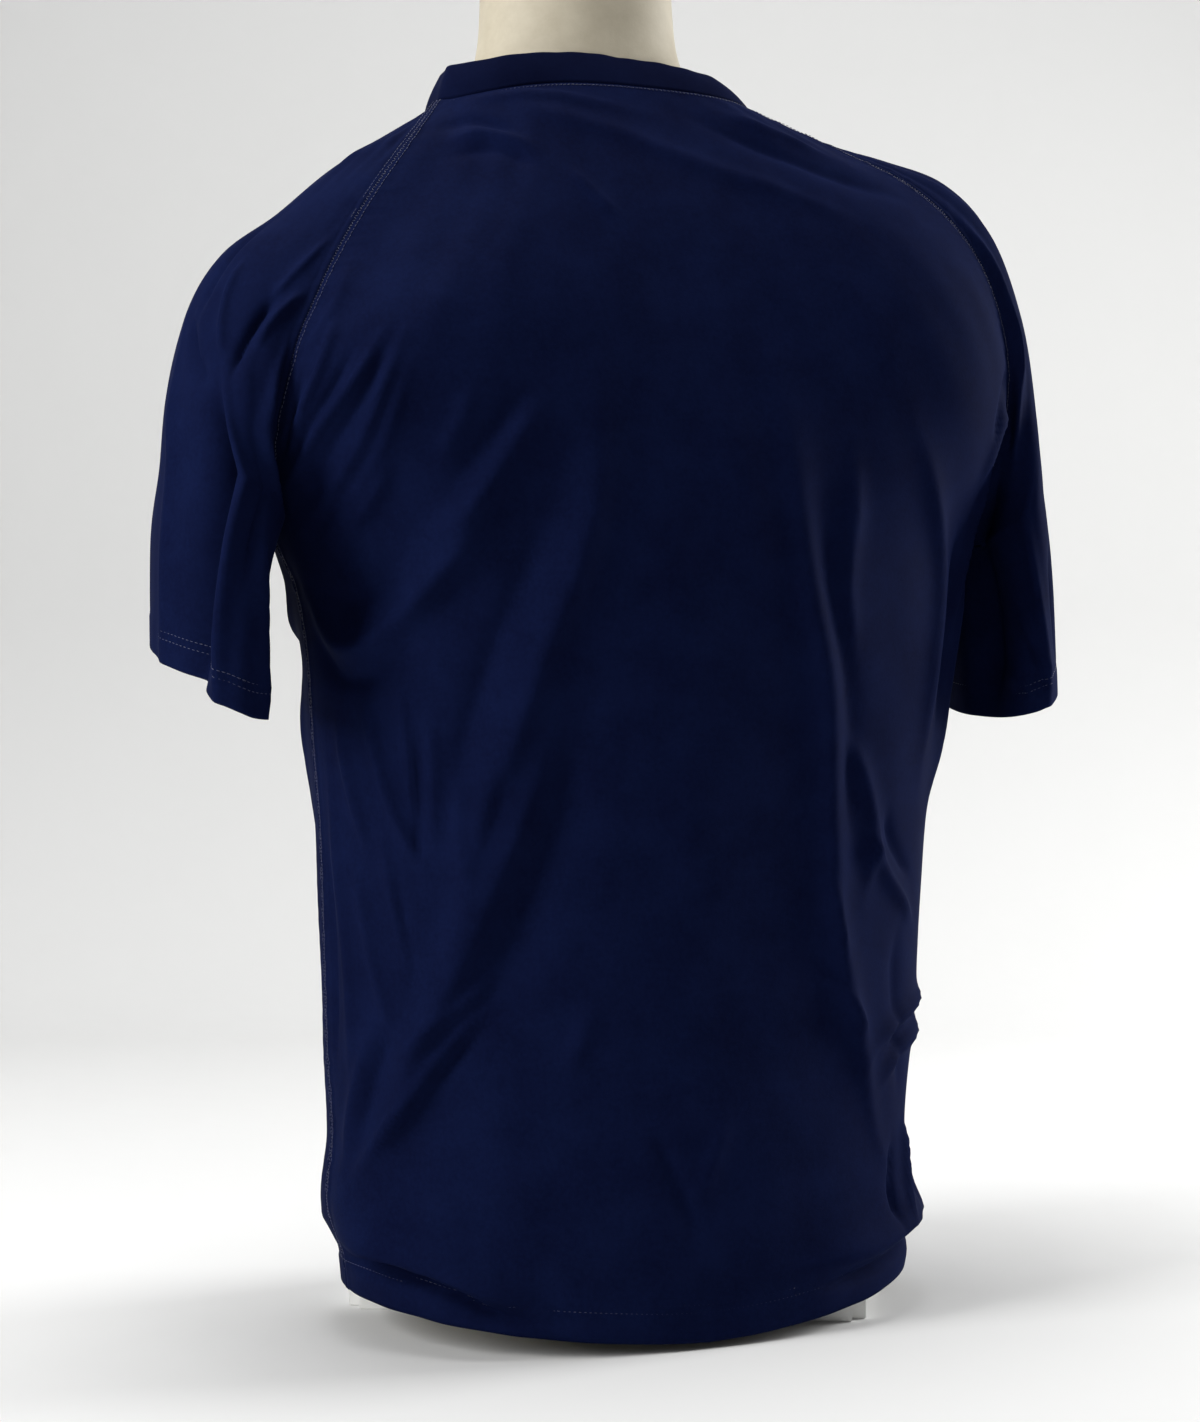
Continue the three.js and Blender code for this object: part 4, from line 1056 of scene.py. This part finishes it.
def cream_coating():
    """Matt cream coat on a moulded form: nearly even, faintly mottled, with a fine orange peel."""
    made, tree, out = new_material("cream matt coating")
    place = add_node(tree, "ShaderNodeTexCoord")
    mottle = add_node(tree, "ShaderNodeTexNoise", Vector=place.outputs["Object"], Scale=55.0, Detail=5.0, Roughness=0.65)
    tone = add_node(tree, "ShaderNodeMix", {"data_type": "RGBA"}, i0=mottle.outputs["Fac"])
    tone.inputs[6].default_value = linear("#a79d88")
    tone.inputs[7].default_value = linear("#c6beaa")
    peel = add_node(tree, "ShaderNodeTexNoise", Vector=place.outputs["Object"], Scale=700.0, Detail=3.0)
    bump = add_node(tree, "ShaderNodeBump", Strength=0.35, Distance=0.0002, Height=peel.outputs["Fac"])
    shader = add_node(tree, "ShaderNodeBsdfPrincipled", Base_Color=tone.outputs[2], Normal=bump.outputs[0])
    shader.inputs["Roughness"].default_value = 0.62
    tree.links.new(shader.outputs[0], out.inputs[0])
    return made


form = moulded_form()
form.data.materials.append(cream_coating())
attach(form, "root")
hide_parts("form_body")
print("form faces", len(form.data.polygons))

# %% [markdown]
# The block is a CAD solid with sharp edges. A copy of it would need the loose triangles merged, so it is built
# again from its own box sizes, turned as the CAD block is, with its edges rounded by a bevel.

# %% Block
BASE = {"length": 316, "depth": 86, "height": 18, "corner": 8, "turn": 28, "back": 32, "x": 13}


def painted_board():
    """White paint on board: satin, with faint brush waviness."""
    made, tree, out = new_material("white satin paint")
    place = add_node(tree, "ShaderNodeTexCoord")
    wave = add_node(tree, "ShaderNodeTexNoise", Vector=place.outputs["Object"], Scale=40.0, Detail=3.0)
    tone = add_node(tree, "ShaderNodeMix", {"data_type": "RGBA"}, i0=wave.outputs["Fac"])
    tone.inputs[6].default_value = linear("#dcdcd9")
    tone.inputs[7].default_value = linear("#ebebe8")
    bump = add_node(tree, "ShaderNodeBump", Strength=0.2, Distance=0.0003, Height=wave.outputs["Fac"])
    shader = add_node(tree, "ShaderNodeBsdfPrincipled", Base_Color=tone.outputs[2], Normal=bump.outputs[0])
    shader.inputs["Roughness"].default_value = 0.4
    tree.links.new(shader.outputs[0], out.inputs[0])
    return made


def base_block():
    """The block with rounded corners and softened edges."""
    work = bmesh.new()
    bmesh.ops.create_cube(work, size=1)
    bmesh.ops.scale(work, vec=Vector((BASE["length"], BASE["depth"], BASE["height"])) * MM, verts=work.verts)
    upright = [e for e in work.edges if abs(e.verts[0].co.z - e.verts[1].co.z) > 1e-4]
    bmesh.ops.bevel(work, geom=upright, offset=BASE["corner"] * MM, segments=8, affect="EDGES")
    rim = [e for e in work.edges if abs(e.verts[0].co.z - e.verts[1].co.z) < 1e-5]
    bmesh.ops.bevel(work, geom=rim, offset=0.0008, segments=3, affect="EDGES")
    turn = math.radians(-BASE["turn"])
    shift = BASE["back"] - BASE["depth"] / 2
    place = Vector((-shift * math.sin(turn) + BASE["x"], shift * math.cos(turn), BASE["height"] / 2)) * MM
    bmesh.ops.transform(work, matrix=Matrix.Translation(place) @ Matrix.Rotation(turn, 4, "Z"), verts=work.verts)
    mesh = bpy.data.meshes.new("base_block")
    work.to_mesh(mesh)
    work.free()
    made = bpy.data.objects.new("base_block", mesh)
    bpy.context.scene.collection.objects.link(made)
    return made


block = base_block()
block.data.materials.append(painted_board())
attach(block, "root")
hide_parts("form_base")

# %% [markdown]
# ## Floor and light
# A white cloth on a table runs into a white backdrop, painted a little darker as it rises, as painted shade.
# Soft light comes from both sides and a little from above, which leaves the middle of the back darker and picks out
# the ridges of the creases.

# %% Floor, backdrop and lamps
def white_sweep():
    """A floor that curves up into a backdrop."""
    work = bmesh.new()
    towards_camera = Vector((math.sin(CAMERA_TURN), math.cos(CAMERA_TURN), 0))
    across = Vector((math.cos(CAMERA_TURN), -math.sin(CAMERA_TURN), 0))
    profile = [(3.0, 0), (-1.2, 0)]
    profile += [(-1.2 - 0.6 * math.sin(a), 0.6 - 0.6 * math.cos(a)) for a in np.linspace(0.1, math.pi / 2, 12)]
    profile.append((-1.8, 3.2))
    rows = [[work.verts.new(towards_camera * d + across * s + Vector((0, 0, z))) for s in (-4, 4)] for d, z in profile]
    for (a, b), (c, d) in zip(rows, rows[1:]):
        work.faces.new((a, b, d, c))
    bmesh.ops.recalc_face_normals(work, faces=work.faces)
    mesh = bpy.data.meshes.new("sweep")
    work.to_mesh(mesh)
    work.free()
    mesh.polygons.foreach_set("use_smooth", [True] * len(mesh.polygons))
    made = bpy.data.objects.new("sweep", mesh)
    bpy.context.scene.collection.objects.link(made)
    return made


def table_cloth():
    """White cotton cloth: matt, with soft, wide unevenness, and painted shade that darkens it from the floor up into
    the backdrop.
    """
    made, tree, out = new_material("white cotton cloth")
    place = add_node(tree, "ShaderNodeTexCoord")
    wide = add_node(tree, "ShaderNodeTexNoise", Vector=place.outputs["Object"], Scale=5.0, Detail=3.0)
    bump = add_node(tree, "ShaderNodeBump", Strength=0.25, Distance=0.01, Height=wide.outputs["Fac"])
    height = add_node(tree, "ShaderNodeSeparateXYZ", Vector=place.outputs["Object"])
    # painted shade: the colour darkens from the floor up to half a metre of height and stays darker on the backdrop
    # above
    rise = add_node(tree, "ShaderNodeMapRange", i0=height.outputs[2], i1=0.0, i2=0.5, i3=0.0, i4=1.0)
    tone = add_node(tree, "ShaderNodeMix", {"data_type": "RGBA"}, i0=rise.outputs[0])
    tone.inputs[6].default_value = linear("#dededd")
    tone.inputs[7].default_value = linear("#cececd")
    shader = add_node(tree, "ShaderNodeBsdfPrincipled", Base_Color=tone.outputs[2], Normal=bump.outputs[0])
    shader.inputs["Roughness"].default_value = 0.9
    tree.links.new(shader.outputs[0], out.inputs[0])
    return made


def soft_lamp(name, place, size, power, aim=(0, 0, 0.45)):
    lamp = bpy.data.objects.new(name, bpy.data.lights.new(name, "AREA"))
    lamp.data.shape = "RECTANGLE"
    lamp.data.size, lamp.data.size_y = size
    lamp.data.energy = power
    lamp.location = place
    lamp.rotation_euler = (Vector(aim) - Vector(place)).to_track_quat("-Z", "Y").to_euler()
    bpy.context.scene.collection.objects.link(lamp)


sweep = white_sweep()
sweep.data.materials.append(table_cloth())
soft_lamp("left lamp", (2.0, 0.3, 1.1), (0.7, 1.2), 40)
soft_lamp("right lamp", (-2.0, 0.05, 0.9), (0.7, 1.2), 44)
soft_lamp("top lamp", (0.2, -0.1, 2.3), (1.4, 1.0), 30)
world = bpy.data.worlds.new("studio")
bpy.context.scene.world = world
world.use_nodes = True
world.node_tree.nodes["Background"].inputs[0].default_value = linear("#f2f2f4")
world.node_tree.nodes["Background"].inputs[1].default_value = 0.22
bpy.context.scene.view_settings.view_transform = "Standard"
